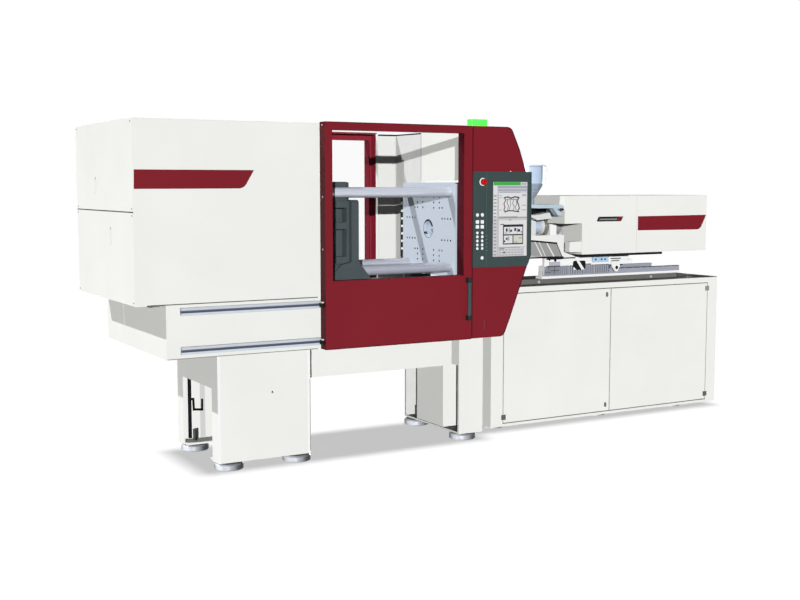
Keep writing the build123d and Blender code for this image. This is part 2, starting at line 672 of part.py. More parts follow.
with BuildPart() as crosshead:
    # lug plates either side, tied together behind the links
    for ya, yb in ((-66, -48), (48, 66)):
        block(CROSSHEAD_X - 34, CROSSHEAD_X + 30, AXIS_Y + ya, AXIS_Y + yb, AXIS_Z - 78, AXIS_Z + 78)
    block(CROSSHEAD_X - 46, CROSSHEAD_X - 24, AXIS_Y - 66, AXIS_Y + 66, AXIS_Z - 78, AXIS_Z + 78)
    with BuildSketch(across(CROSSHEAD_X - 47)):
        with Locations((AXIS_Y, AXIS_Z)):
            Circle(18.6)
    extrude(amount=40, mode=Mode.SUBTRACT)
    with BuildSketch(side(AXIS_Y + 67)):
        with Locations((CROSSHEAD_X, AXIS_Z + CROSS_Z), (CROSSHEAD_X, AXIS_Z - CROSS_Z)):
            Circle(14.04)
    extrude(amount=134, mode=Mode.SUBTRACT)
save(crosshead, "crosshead")

with BuildPart() as clamp_screw:
    with BuildSketch(across(-1790)):
        with Locations((AXIS_Y, AXIS_Z)):
            Circle(18)
    extrude(amount=1790 - 1185)
    with BuildSketch(across(-1790)):
        with Locations((AXIS_Y, AXIS_Z)):
            Circle(30)
    extrude(amount=80)
save(clamp_screw, "clamp_screw")

with BuildPart() as clamp_drive:
    # bearing housing behind the end platen, then the servo motor
    with BuildSketch(across(-1840)):
        with Locations((AXIS_Y, AXIS_Z)):
            Circle(95)
    extrude(amount=160)
    with BuildSketch(across(-1791)):
        with Locations((AXIS_Y, AXIS_Z)):
            Circle(30.04)
    extrude(amount=111, mode=Mode.SUBTRACT)
    with BuildSketch(across(-2120)) as s:
        with Locations((AXIS_Y, AXIS_Z)):
            Rectangle(190, 190)
        fillet(s.vertices(), 18)
    extrude(amount=282)
    block(-2060, -2000, AXIS_Y - 40, AXIS_Y + 40, AXIS_Z + 90, AXIS_Z + 130)
save(clamp_drive, "clamp_drive")

# ================================================================ injection base
with BuildPart() as injection_cabinet:
    block(CAB_X0, CAB_X1, CAB_Y0, CAB_Y1, CAB_Z0, CAB_Z1 - 4)
    # hollow, open to the front behind the two doors
    block(CAB_X0 + 5, CAB_X1 - 5, CAB_Y0 + 24, CAB_Y1 - 5, CAB_Z0 + 5, CAB_Z1 - 10, Mode.SUBTRACT)
    block(SEAM_X[0] - 0.8, SEAM_X[2] + 0.8, CAB_Y0, CAB_Y0 + 4, SEAM_Z[0] - 0.8, SEAM_Z[1] + 0.8, Mode.SUBTRACT)
    block(SEAM_X[0] + 30, SEAM_X[1] - 45, CAB_Y0, CAB_Y0 + 30, SEAM_Z[0] + 30, SEAM_Z[1] - 30, Mode.SUBTRACT)
    block(SEAM_X[1] + 45, SEAM_X[2] - 30, CAB_Y0, CAB_Y0 + 30, SEAM_Z[0] + 30, SEAM_Z[1] - 30, Mode.SUBTRACT)
    # bearers that join the cabinet to the clamp bed
    block(BED_X1, CAB_X0, -400, -330, 760, 960)
    block(BED_X1, CAB_X0, 10, 80, 760, 960)
    with Locations(*[(x, y, CAB_Z0) for x, y in CAB_FEET]):
        Cylinder(10.5, 90, mode=Mode.SUBTRACT)
save(injection_cabinet, "injection_cabinet")


def cabinet_door(x0, x1, hinge_left):
    """Flat panel with returned edges; a square corner is left out round each hinge."""
    with BuildPart() as door:
        block(x0, x1, CAB_Y0 - 1, CAB_Y0 + 2.6, SEAM_Z[0], SEAM_Z[1])
        for z in (93, 893):
            xh = x0 if hinge_left else x1
            block(xh - 20, xh + 20, CAB_Y0 - 2, CAB_Y0 + 4, z - 20, z + 20, Mode.SUBTRACT)
        if hinge_left:
            for z in (99, 890):
                with Locations(Location((1195, CAB_Y0, z), (90, 0, 0))):
                    Cylinder(9.06, 20, mode=Mode.SUBTRACT)
    return door


cabinet_door_left = cabinet_door(SEAM_X[0], SEAM_X[1] - 1.5, True)
save(cabinet_door_left, "cabinet_door_left")
cabinet_door_right = cabinet_door(SEAM_X[1] + 1.5, SEAM_X[2], False)
save(cabinet_door_right, "cabinet_door_right")

with BuildPart() as cabinet_hinges:
    for x in (SEAM_X[0], SEAM_X[2]):
        for z in (93, 893):
            block(x - 17, x + 17, CAB_Y0 - 4, CAB_Y0, z - 17, z + 17)
            with Locations((x, CAB_Y0 - 3, z)):
                Cylinder(3.0, 34)
save(cabinet_hinges, "cabinet_hinges")


def door_lock(z):
    """Quarter-turn lock: round plug with a wing on the face and a tongue behind."""
    with BuildPart() as lock:
        with BuildSketch(side(CAB_Y0 + 3.2)):
            with Locations((1195, z)):
                Circle(9)
        extrude(amount=9)
        with BuildSketch(side(CAB_Y0 - 1.2)):
            with Locations((1195, z)):
                SlotOverall(34, 17, rotation=90)
        extrude(amount=5)
    return lock


lock_upper = door_lock(890)
save(lock_upper, "lock_upper")
lock_lower = door_lock(99)
save(lock_lower, "lock_lower")

with BuildPart() as top_plate:
    block(CAB_X0, CAB_X1, CAB_Y0, CAB_Y1, CAB_Z1 - 4, CAB_Z1)
save(top_plate, "top_plate")

with BuildPart() as injection_base:
    # the part towards the mould is narrower, only the front bearer runs all the way
    with BuildSketch(Plane.XY.offset(CAB_Z1)):
        with BuildLine():
            Polyline((240, -318), (1955, -318), (1955, -2), (960, -2), (960, -60), (240, -60), close=True)
        make_face()
    extrude(amount=1012 - CAB_Z1)
    with BuildSketch(Plane.XY.offset(1012)):
        with BuildLine():
            Polyline((696, -332), (1975, -332), (1975, 12), (985, 12), (985, -262), (696, -262), close=True)
        make_face()
    extrude(amount=17)
    # heads of the bolts along its front
    with BuildSketch(side(-318)):
        with Locations((678, 992), (1700, 990)):
            Circle(9)
    extrude(amount=7)
save(injection_base, "injection_base")

RAIL_YS = (AXIS_Y - 150, AXIS_Y + 150)
with BuildPart() as injection_rails:
    for yc, x0 in zip(RAIL_YS, (701, 985)):
        with BuildSketch(across(x0)):
            rect(yc - 15, yc + 15, 1029, 1066)
            cut_rect(yc - 15, yc - 10, 1044, 1054)
            cut_rect(yc + 10, yc + 15, 1044, 1054)
        extrude(amount=1975 - x0)
save(injection_rails, "injection_rails")

# ================================================================ injection unit
with BuildPart() as injection_carriage:
    # guide blocks straddling the rails
    for yc, starts in zip(RAIL_YS, ((708, 925, 1155), (1000, 1155))):
        for x0 in starts:
            block(x0, x0 + 130, yc - 34, yc + 34, 1036, 1100)
            block(x0 - 1, x0 + 131, yc - 15.6, yc + 15.6, 1030, 1066.6, Mode.SUBTRACT)
    # base plate with a deeper front edge
    with BuildSketch(Plane.XY.offset(1100)):
        with BuildLine():
            Polyline((700, -350), (1495, -350), (1495, 30), (990, 30), close=True)
        make_face()
    extrude(amount=28)
    block(703, 974, AXIS_Y - 190, AXIS_Y - 165, 1100, 1156)
    # beam that carries the throat block and the barrel's guard
    block(615, 960, AXIS_Y - 70, AXIS_Y + 70, 1164, 1290)
    block(1255, 1455, AXIS_Y - 180, AXIS_Y + 180, 1128, 1176)
    block(962, 1690, HOOD_Y0 + 3, HOOD_Y1 - 3, 1164, HOOD_Z0)
    # bearing block of the barrel, in front of the drive frame
    block(822, 880, AXIS_Y - 90, AXIS_Y + 90, 1164, 1446)
    # drive frame inside the hood: front and rear plates with tie rods
    block(955, 995, AXIS_Y - 170, AXIS_Y + 170, 1128, 1500)
    block(1435, 1475, AXIS_Y - 170, AXIS_Y + 170, 1128, 1500)
    with BuildSketch(across(820)):
        with Locations((AXIS_Y, AXIS_Z)):
            Circle(58)
    extrude(amount=180, mode=Mode.SUBTRACT)
    with BuildSketch(across(1430)):
        with Locations((AXIS_Y, AXIS_Z)):
            Circle(42)
    extrude(amount=50, mode=Mode.SUBTRACT)
    with BuildSketch(across(985)):
        with Locations((AXIS_Y - 130, AXIS_Z - 60), (AXIS_Y + 130, AXIS_Z - 60),
                       (AXIS_Y - 130, AXIS_Z + 100), (AXIS_Y + 130, AXIS_Z + 100)):
            Circle(16)
    extrude(amount=460)
save(injection_carriage, "injection_carriage")

with BuildPart() as throat_block:
    with BuildSketch(side(AXIS_Y + 90)) as s:
        with BuildLine():
            Polyline((575, 1290), (700, 1290), (700, 1436), (790, 1436), (790, 1504), (575, 1504), close=True)
        make_face()
    extrude(amount=180)
    # slanted cover in front of the feed opening
    with BuildSketch(side(AXIS_Y - 90)):
        with BuildLine():
            Polyline((600, 1444), (655, 1420), (778, 1431), (758, 1472), (607, 1451), close=True)
        make_face()
    extrude(amount=80)
    with BuildSketch(across(574)):
        with Locations((AXIS_Y, AXIS_Z)):
            Circle(55)
    extrude(amount=220, mode=Mode.SUBTRACT)
    with Locations((HOPPER_X, AXIS_Y, 1470)):
        Cylinder(26, 80, mode=Mode.SUBTRACT)
save(throat_block, "throat_block")

with BuildPart() as barrel:
    with BuildSketch(across(-2)):
        with Locations((AXIS_Y, AXIS_Z)):
            Circle(48)
    extrude(amount=577)
    with BuildSketch(across(575)):
        with Locations((AXIS_Y, AXIS_Z)):
            Circle(55)
    extrude(amount=226)
    with BuildSketch(across(780)):
        with Locations((AXIS_Y, AXIS_Z)):
            Circle(62)
    extrude(amount=20)
    with BuildSketch(across(801)):
        with Locations((AXIS_Y, AXIS_Z)):
            Circle(80)
    extrude(amount=21)
    with BuildSketch(across(800)):
        with Locations((AXIS_Y, AXIS_Z)):
            Circle(58)
    extrude(amount=187)
    with BuildSketch(across(-3)):
        with Locations((AXIS_Y, AXIS_Z)):
            Circle(18.06)
    extrude(amount=995, mode=Mode.SUBTRACT)
    with Locations((HOPPER_X, AXIS_Y, 1400)):
        Cylinder(24, 70, mode=Mode.SUBTRACT)
save(barrel, "barrel")

with BuildPart() as nozzle:
    with BuildSketch(Plane(origin=(0, AXIS_Y, AXIS_Z), x_dir=(1, 0, 0), z_dir=(0, -1, 0))):
        with BuildLine():
            Polyline((-2, 17), (-2, 46), (-34, 44), (-46, 24), (-86, 20), (-95, 8), (-95, 2.5),
                     (-40, 2.5), (-12, 17), close=True)
        make_face()
    revolve(axis=Axis((0, AXIS_Y, AXIS_Z), (1, 0, 0)))
save(nozzle, "nozzle")

with BuildPart() as heater_bands:
    for x0 in (45, 148, 251, 354, 457):
        with BuildSketch(across(x0)):
            with Locations((AXIS_Y, AXIS_Z)):
                Circle(56)
                Circle(48, mode=Mode.SUBTRACT)
        extrude(amount=88)
        block(x0 + 26, x0 + 62, AXIS_Y - 12, AXIS_Y + 12, AXIS_Z + 54, AXIS_Z + 72)
save(heater_bands, "heater_bands")

with BuildPart() as plasticising_screw:
    with BuildSketch(across(2)):
        with Locations((AXIS_Y, AXIS_Z)):
            Circle(17)
    extrude(amount=975)
    with BuildSketch(across(595)):
        with Locations((AXIS_Y, AXIS_Z)):
            Circle(18)
    extrude(amount=580)
save(plasticising_screw, "plasticising_screw")

with BuildPart() as injection_plate:
    with BuildSketch(across(1135)) as s:
        with Locations((AXIS_Y, AXIS_Z + 10)):
            Rectangle(330, 240)
        fillet(s.vertices(), 14)
        with Locations((AXIS_Y, AXIS_Z)):
            Circle(18.05, mode=Mode.SUBTRACT)
        with Locations((AXIS_Y - 130, AXIS_Z - 60), (AXIS_Y + 130, AXIS_Z - 60),
                       (AXIS_Y - 130, AXIS_Z + 100), (AXIS_Y + 130, AXIS_Z + 100)):
            Circle(16.4, mode=Mode.SUBTRACT)
    extrude(amount=50)
    # metering motor behind the plate
    with BuildSketch(across(1185)):
        with Locations((AXIS_Y, AXIS_Z)):
            Circle(36)
    extrude(amount=230)
save(injection_plate, "injection_plate")


def hood_shell(x0, x1, notch):
    with BuildPart() as hood:
        with BuildSketch(across(x0)) as s:
            rect(HOOD_Y0, HOOD_Y1, HOOD_Z0, HOOD_Z1)
            fillet(s.vertices().group_by(Axis.Y)[-1], 8)
            cut_rect(HOOD_Y0 + 3, HOOD_Y1 - 3, HOOD_Z0, HOOD_Z1 - 3)
        extrude(amount=x1 - x0)
        if notch:
            # closed above the barrel, notched below it
            block(x0, x0 + 3, HOOD_Y0 + 3, HOOD_Y1 - 3, 1397, HOOD_Z1 - 3)
            block(x0, x0 + 3, AXIS_Y - 95, AXIS_Y + 95, 1397, 1456, Mode.SUBTRACT)
            block(x0, 950, HOOD_Y0, HOOD_Y1, HOOD_Z0, 1397, Mode.SUBTRACT)
            # inner wall that closes the notch, and the small box in it
            block(948, 953, HOOD_Y0 + 2, AXIS_Y - 75, HOOD_Z0, 1397)
            block(948, 953, AXIS_Y + 75, HOOD_Y1 - 2, HOOD_Z0, 1397)
            block(845, 950, HOOD_Y0 + 2, HOOD_Y0 + 56, 1199, 1272)
        else:
            block(x1 - 3, x1, HOOD_Y0 + 3, HOOD_Y1 - 3, HOOD_Z0, HOOD_Z1 - 3)
    return hood


hood_front = hood_shell(HOOD_X0, HOOD_XM - 1, True)
with BuildPart() as hood_front_full:
    add(hood_front.part)
    with BuildSketch(side(HOOD_Y0 + 3)):
        with BuildLine():
            Polyline((1075, 1406), (1298, 1406), (1322, 1443), (1093, 1443), close=True)
        make_face()
    extrude(amount=3, mode=Mode.SUBTRACT)
    with BuildSketch(side(HOOD_Y0 + 9)):
        with BuildLine():
            Polyline((1065, 1400), (1306, 1400), (1334, 1449), (1085, 1449), close=True)
        make_face()
    extrude(amount=6)
save(hood_front_full, "hood_front")

hood_rear = hood_shell(HOOD_XM + 1, HOOD_X1, False)
save(hood_rear, "hood_rear")

with BuildPart() as barrel_guard:
    # trough under the hot barrel with a slanted window towards the operator
    with BuildSketch(side(-381)):
        with BuildLine():
            Polyline((118, 1160), (942, 1160), (942, 1166), (843, 1199), (843, 1318), (118, 1318), close=True)
        make_face()
    extrude(amount=4)
    block(118, 843, -385, 60, 1160, 1164)
    block(118, 843, 56, 60, 1160, 1300)
    with BuildSketch(side(-381)):
        with BuildLine():
            Polyline((180, 1196), (828, 1167), (780, 1260), (578, 1280), (180, 1290), close=True)
        make_face()
    extrude(amount=4, mode=Mode.SUBTRACT)
    with BuildSketch(side(-378)):
        with BuildLine():
            Polyline((172, 1190), (838, 1163), (784, 1266), (578, 1286), (172, 1296), close=True)
        make_face()
    extrude(amount=3)
save(barrel_guard, "barrel_guard")

with BuildPart() as hopper_slide:
    with BuildSketch(Plane.XY.offset(1504.3)) as s:
        rect(599, 789, -430, -90)
    extrude(amount=24)
    with BuildSketch(side(-378)):
        with BuildLine():
            Polyline((712, 1504.4), (770, 1504.4), (789, 1452), (757, 1452), close=True)
        make_face()
    extrude(amount=50)
    with Locations((HOPPER_X, AXIS_Y, 1516)):
        Cylinder(26, 30, mode=Mode.SUBTRACT)
    with BuildSketch(side(-426)):
        with Locations((752, 1496)):
            Circle(4)
    extrude(amount=44)
    with BuildSketch(side(-466)):
        with Locations((752, 1496)):
            Circle(9)
    extrude(amount=16)
    block(742, 762, -430, -424, 1486, 1506)
save(hopper_slide, "hopper_slide")

with BuildPart() as hopper:
    with BuildSketch(Plane(origin=(HOPPER_X, AXIS_Y, 0), x_dir=(1, 0, 0), z_dir=(0, -1, 0))):
        with BuildLine():
            Polyline((66, 1528.5), (66, 1565), (130, 1672), (130, 1790), (148, 1790), (148, 1800),
                     (126, 1800), (126, 1674), (62, 1567), (62, 1542), (26, 1542), (26, 1528.5), close=True)
        make_face()
    revolve(axis=Axis((HOPPER_X, AXIS_Y, 0), (0, 0, 1)))
    with Locations((HOPPER_X + 154, AXIS_Y, 1795)):
        Sphere(10)
save(hopper, "hopper")
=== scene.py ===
import bpy, bmesh, math
from mathutils import Vector, Matrix


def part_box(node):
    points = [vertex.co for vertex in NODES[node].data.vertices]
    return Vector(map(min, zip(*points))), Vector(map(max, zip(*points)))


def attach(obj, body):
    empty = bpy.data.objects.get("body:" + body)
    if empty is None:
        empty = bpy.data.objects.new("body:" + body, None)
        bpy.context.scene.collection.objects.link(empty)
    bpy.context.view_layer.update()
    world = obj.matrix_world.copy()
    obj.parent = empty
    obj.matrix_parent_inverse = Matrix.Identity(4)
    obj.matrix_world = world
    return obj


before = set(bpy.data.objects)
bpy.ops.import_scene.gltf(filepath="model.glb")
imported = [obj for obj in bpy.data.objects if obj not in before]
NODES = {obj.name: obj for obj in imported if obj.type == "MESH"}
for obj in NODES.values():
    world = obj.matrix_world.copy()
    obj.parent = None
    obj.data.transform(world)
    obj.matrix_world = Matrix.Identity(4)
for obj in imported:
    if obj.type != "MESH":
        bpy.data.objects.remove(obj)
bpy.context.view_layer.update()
scene = bpy.context.scene
scene.view_settings.view_transform = "Standard"
scene.view_settings.look = "None"

A_Y, A_Z = -0.160, 1.372        # centre line of the clamp and the screw


# ------------------------------------------------------------------ helpers
def lin(c):
    """Linear colour from 0-255 display values."""
    out = []
    for v in c:
        v = v / 255.0
        out.append(v / 12.92 if v <= 0.04045 else ((v + 0.055) / 1.055) ** 2.4)
    return tuple(out) + (1.0,)


def new_mat(name):
    m = bpy.data.materials.new(name)
    m.use_nodes = True
    nt = m.node_tree
    b = nt.nodes["Principled BSDF"]
    return m, nt, b


def coords(nt, scale=(1, 1, 1)):
    tc = nt.nodes.new("ShaderNodeTexCoord")
    mp = nt.nodes.new("ShaderNodeMapping")
    mp.inputs["Scale"].default_value = scale
    nt.links.new(tc.outputs["Object"], mp.inputs["Vector"])
    return mp.outputs["Vector"]


def noise(nt, vec, scale, detail=3.0, rough=0.5):
    n = nt.nodes.new("ShaderNodeTexNoise")
    n.inputs["Scale"].default_value = scale
    n.inputs["Detail"].default_value = detail
    n.inputs["Roughness"].default_value = rough
    nt.links.new(vec, n.inputs["Vector"])
    return n.outputs["Fac"]


def ramp(nt, fac, stops):
    r = nt.nodes.new("ShaderNodeValToRGB")
    el = r.color_ramp.elements
    el[0].position, el[0].color = stops[0]
    el[1].position, el[1].color = stops[-1]
    for p, c in stops[1:-1]:
        e = el.new(p)
        e.color = c
    nt.links.new(fac, r.inputs["Fac"])
    return r.outputs["Color"]


def to_range(nt, fac, a, b):
    r = nt.nodes.new("ShaderNodeMapRange")
    r.inputs["To Min"].default_value = a
    r.inputs["To Max"].default_value = b
    nt.links.new(fac, r.inputs["Value"])
    return r.outputs["Result"]


def shade(c, k):
    return tuple(min(1.0, v * k) for v in c[:3]) + (1.0,)


def bump(nt, b, fac, strength, dist):
    bp = nt.nodes.new("ShaderNodeBump")
    bp.inputs["Strength"].default_value = strength
    bp.inputs["Distance"].default_value = dist
    nt.links.new(fac, bp.inputs["Height"])
    nt.links.new(bp.outputs["Normal"], b.inputs["Normal"])


def paint(name, rgb, rough=(0.5, 0.62), var=0.02, scale=2.2, peel=0.08, metal=0.0, spec=0.15):
    """Sprayed paint: faint cloudiness in tone, uneven gloss and a fine orange peel."""
    m, nt, b = new_mat(name)
    c = lin(rgb)
    v = coords(nt)
    nt.links.new(ramp(nt, noise(nt, v, scale), [(0.3, shade(c, 1 - var)), (0.7, shade(c, 1 + var))]),
                 b.inputs["Base Color"])
    nt.links.new(to_range(nt, noise(nt, v, scale * 4, 4.0), *rough), b.inputs["Roughness"])
    b.inputs["Metallic"].default_value = metal
    b.inputs["Specular IOR Level"].default_value = spec
    bump(nt, b, noise(nt, v, 420.0, 2.0), peel, 0.0004)
    return m


def steel(name, rgb, rough=(0.25, 0.4), stretch=(1, 40, 40), scale=6.0, metal=0.85, var=0.08):
    """Machined or drawn metal with grain along one axis."""
    m, nt, b = new_mat(name)
    c = lin(rgb)
    v = coords(nt, stretch)
    f = noise(nt, v, scale, 5.0, 0.6)
    nt.links.new(ramp(nt, f, [(0.25, shade(c, 1 - var)), (0.75, shade(c, 1 + var))]), b.inputs["Base Color"])
    nt.links.new(to_range(nt, f, *rough), b.inputs["Roughness"])
    b.inputs["Metallic"].default_value = metal
    bump(nt, b, f, 0.08, 0.0003)
    return m


def glass(name, tint, alpha, rough=0.04):
    m, nt, b = new_mat(name)
    c = lin(tint)
    v = coords(nt)
    nt.links.new(ramp(nt, noise(nt, v, 3.0), [(0.3, shade(c, 0.98)), (0.7, c)]), b.inputs["Base Color"])
    nt.links.new(to_range(nt, noise(nt, v, 9.0), rough, rough + 0.03), b.inputs["Roughness"])
    b.inputs["Alpha"].default_value = alpha
    b.inputs["Specular IOR Level"].default_value = 0.3
    return m


def put(mat, *names):
    for n in names:
        o = NODES[n]
        o.data.materials.clear()
        o.data.materials.append(mat)


def zones(m, areas):
    """Repaints parts of a finished material: each area is a colour and a box in metres (None leaves a side open)."""
    nt = m.node_tree
    b = nt.nodes["Principled BSDF"]
    link = b.inputs["Base Color"].links[0]
    col = link.from_socket
    sep = nt.nodes.new("ShaderNodeSeparateXYZ")
    tc = nt.nodes.new("ShaderNodeTexCoord")
    nt.links.new(tc.outputs["Object"], sep.inputs[0])
    grain = noise(nt, tc.outputs["Object"], 14.0, 3.0)
    for rgb, box in areas:
        fac = None
        for i in range(3):
            for lim, op in ((box[2 * i], "GREATER_THAN"), (box[2 * i + 1], "LESS_THAN")):
                if lim is None:
                    continue
                t = nt.nodes.new("ShaderNodeMath")
                t.operation = op
                nt.links.new(sep.outputs[i], t.inputs[0])
                t.inputs[1].default_value = lim
                if fac is None:
                    fac = t.outputs[0]
                else:
                    k = nt.nodes.new("ShaderNodeMath")
                    k.operation = "MULTIPLY"
                    nt.links.new(fac, k.inputs[0])
                    nt.links.new(t.outputs[0], k.inputs[1])
                    fac = k.outputs[0]
        c = lin(rgb)
        new = ramp(nt, grain, [(0.3, shade(c, 0.97)), (0.7, shade(c, 1.03))])
        mx = nt.nodes.new("ShaderNodeMix")
        mx.data_type = "RGBA"
        nt.links.new(fac, mx.inputs[0])
        nt.links.new(col, mx.inputs[6])
        nt.links.new(new, mx.inputs[7])
        col = mx.outputs[2]
    nt.links.new(col, b.inputs["Base Color"])
    return m


def painted_facing_shade(m, direction, stops):
    """Paints shade into a finished material, leaving highlights: darkens it by how far a surface turns towards a fixed
    direction of the object.
    """
    nt = m.node_tree
    b = nt.nodes["Principled BSDF"]
    col = b.inputs["Base Color"].links[0].from_socket
    tc = nt.nodes.new("ShaderNodeTexCoord")
    dot = nt.nodes.new("ShaderNodeVectorMath")
    dot.operation = "DOT_PRODUCT"
    dot.inputs[1].default_value = direction
    nt.links.new(tc.outputs["Normal"], dot.inputs[0])
    half = nt.nodes.new("ShaderNodeMapRange")
    half.inputs["From Min"].default_value = -1.0
    nt.links.new(dot.outputs["Value"], half.inputs["Value"])
    k = ramp(nt, half.outputs["Result"], [(q, (v, v, v, 1)) for q, v in stops])
    mx = nt.nodes.new("ShaderNodeMix")
    mx.data_type = "RGBA"
    mx.blend_type = "MULTIPLY"
    mx.inputs[0].default_value = 1.0
    nt.links.new(col, mx.inputs[6])
    nt.links.new(k, mx.inputs[7])
    nt.links.new(mx.outputs[2], b.inputs["Base Color"])
    return m


def rounded(pts, radii, steps=7):
    """Outline with the named corners turned into arcs."""
    out = []
    n = len(pts)
    for i, p in enumerate(pts):
        r = radii.get(i)
        if not r:
            out.append(p)
            continue
        p = Vector(p)
        a = (Vector(pts[i - 1]) - p).normalized()
        c = (Vector(pts[(i + 1) % n]) - p).normalized()
        half = a.angle(c) / 2
        d = r / math.tan(half)
        mid = p + (a + c).normalized() * (r / math.sin(half))
        s, e = p + a * d - mid, p + c * d - mid
        sweep = s.angle_signed(e)
        for k in range(steps + 1):
            t = -sweep * k / steps
            out.append((mid.x + s.x * math.cos(t) - s.y * math.sin(t),
                        mid.y + s.x * math.sin(t) + s.y * math.cos(t)))
    return out


def prism(bm, pts, axis, lo, hi):
    """Adds an outline in millimetres, pulled along an axis from lo to hi, to a bmesh."""
    def at(p, d):
        if axis == "y":
            return (p[0] / 1000, d / 1000, p[1] / 1000)
        if axis == "x":
            return (d / 1000, p[0] / 1000, p[1] / 1000)
        return (p[0] / 1000, p[1] / 1000, d / 1000)
    a = [bm.verts.new(at(p, lo)) for p in pts]
    c = [bm.verts.new(at(p, hi)) for p in pts]
    bm.faces.new(a)
    bm.faces.new(list(reversed(c)))
    for i in range(len(pts)):
        j = (i + 1) % len(pts)
        bm.faces.new((a[i], c[i], c[j], a[j]))


LIT = []


def piece(name, parts, mat, body, soften=0.0, segments=2):
    """One named piece from outlines (points, axis, lo, hi); soften rounds its edges, in millimetres."""
    bm = bmesh.new()
    for pts, axis, lo, hi in parts:
        prism(bm, pts, axis, lo, hi)
    bmesh.ops.recalc_face_normals(bm, faces=bm.faces)
    me = bpy.data.meshes.new(name)
    bm.to_mesh(me)
    bm.free()
    o = bpy.data.objects.new(name, me)
    scene.collection.objects.link(o)
    me.materials.append(mat)
    if soften:
        m = o.modifiers.new("soft_edges", "BEVEL")
        m.width = soften / 1000
        m.segments = segments
        m.limit_method = "ANGLE"
    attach(o, body)
    LIT.append(o)
    return o


def rect(x0, x1, z0, z1):
    return [(x0, z0), (x1, z0), (x1, z1), (x0, z1)]


def disc(cx, cz, r, n=24):
    return [(cx + r * math.cos(2 * math.pi * i / n), cz + r * math.sin(2 * math.pi * i / n)) for i in range(n)]


def stroke(pts, w):
    """Thin quads along a line of points."""
    out = []
    for p, q in zip(pts[:-1], pts[1:]):
        p, q = Vector(p), Vector(q)
        d = (q - p).normalized() * (w / 2)
        n = Vector((-d.y, d.x))
        out.append([tuple(p - d + n), tuple(p - d - n), tuple(q + d - n), tuple(q + d + n)])
    return out


# ---------------------------------------------------------------- materials
M_WHITE = paint("white_panel_paint", (244, 245, 240))
# wine red of the guard door and fixed guard; painted shade darkens the door's left side face and the right reveal of
# its window
M_RED = zones(paint("wine_red_paint", (127, 27, 39), var=0.03),
              [((76, 0, 8), (None, -1.1405, -0.6795, -0.60, None, None)),
               ((78, 12, 25), (-0.1745, -0.1705, -0.6765, -0.60, 1.09, 1.99))])
# painted light: the rear door gets a brighter copy of the wine red; its window reveal is painted a little darker as
# painted shade
M_RED_REAR_LIT = zones(paint("wine_red_rear_painted_light", (150, 38, 54), var=0.03),
               [((122, 26, 42), (-0.1465, -0.1425, 0.63, 0.7035, 1.09, 1.99))])
# rear wall sheets; the folded side behind the joint is painted a shade greyer as painted shade
M_WALL = zones(paint("rear_wall_paint", (244, 245, 240)),
               [((229, 229, 227), (0.05, 0.0615, 0.243, 0.60, None, None))])
# pedestal white with painted highlights: pure white strips along the side edges of its front
M_PEDESTAL = zones(paint("pedestal_paint", (244, 245, 240)),
                   [((255, 255, 255), (-1.778, -1.760, None, -0.5495, None, None)),
                    ((255, 255, 255), (-1.204, -1.185, None, -0.5495, None, None))])
# leg white with painted shade in its pockets: back and rear faces a little grey, the pocket floors dark
M_LEG = zones(paint("leg_paint", (244, 245, 240)),
              [((234, 234, 232), (0.0485, 0.0515, -0.5345, -0.3505, 0.0575, 0.4965)),
               ((228, 228, 226), (-0.1225, 0.0615, 0.1315, 0.1345, 0.0575, 0.4965)),
               ((70, 72, 72), (-0.1225, 0.0495, -0.5345, 0.1325, 0.0555, 0.0585))])
# painted shade: the cabinet's top sheet is painted dark grey to stand in for the shadow lying over it
M_TOP_SHADE = paint("top_sheet_painted_shade", (112, 112, 108), rough=(0.5, 0.65), var=0.05)
# white lip of the injection base; the block below it gets painted shade: dark on its top, grey on its front
M_BASE = zones(paint("base_strip_paint", (250, 250, 250)),
               [((112, 112, 108), (None, None, -0.3185, None, None, 1.0125)),
                ((196, 196, 194), (None, None, None, -0.3185, None, 1.0125))])
# carriage white; the black band along the hood's underside is painted shade, the lower front is grey
M_CARRIAGE = zones(paint("carriage_paint", (252, 253, 253), rough=(0.42, 0.55), var=0.03),
                   [((24, 24, 25), (None, None, None, None, 1.1633, 1.1817)),
                    ((158, 163, 170), (None, None, None, -0.3435, None, 1.0995))])
# throat block; its top behind the hopper slide is painted black as painted shade
M_THROAT = zones(paint("throat_paint", (226, 230, 228), rough=(0.42, 0.55), var=0.03),
                 [((25, 28, 25), (None, None, -0.2505, None, 1.437, None))])
M_GUARD = zones(paint("barrel_guard_paint", (243, 243, 240), rough=(0.42, 0.55), var=0.02),
                [((160, 161, 160), (None, None, -0.3835, -0.3775, 1.161, 1.30))])
M_CAST = paint("cast_dark_paint", (78, 87, 90), rough=(0.45, 0.6), var=0.07, scale=5, peel=0.25)
M_CAST2 = paint("cast_mid_paint", (112, 120, 122), rough=(0.45, 0.6), var=0.08, scale=5, peel=0.25)
M_HOUSING = paint("panel_housing_plastic", (62, 77, 77), rough=(0.4, 0.5), var=0.04, scale=8)
M_KEY = paint("key_plastic", (250, 252, 252), rough=(0.35, 0.45), var=0.02, scale=30)
M_SCREEN = paint("screen_light_field", (208, 206, 209), rough=(0.2, 0.28), var=0.015, scale=9, peel=0.0)
M_BLACK = paint("black_plastic", (30, 32, 34), rough=(0.4, 0.55), var=0.1, scale=20)
M_SIGRED = paint("signal_red_plastic", (205, 10, 20), rough=(0.25, 0.35), var=0.04, scale=30)
M_STEEL = steel("machined_steel", (206, 210, 220), metal=0.2)
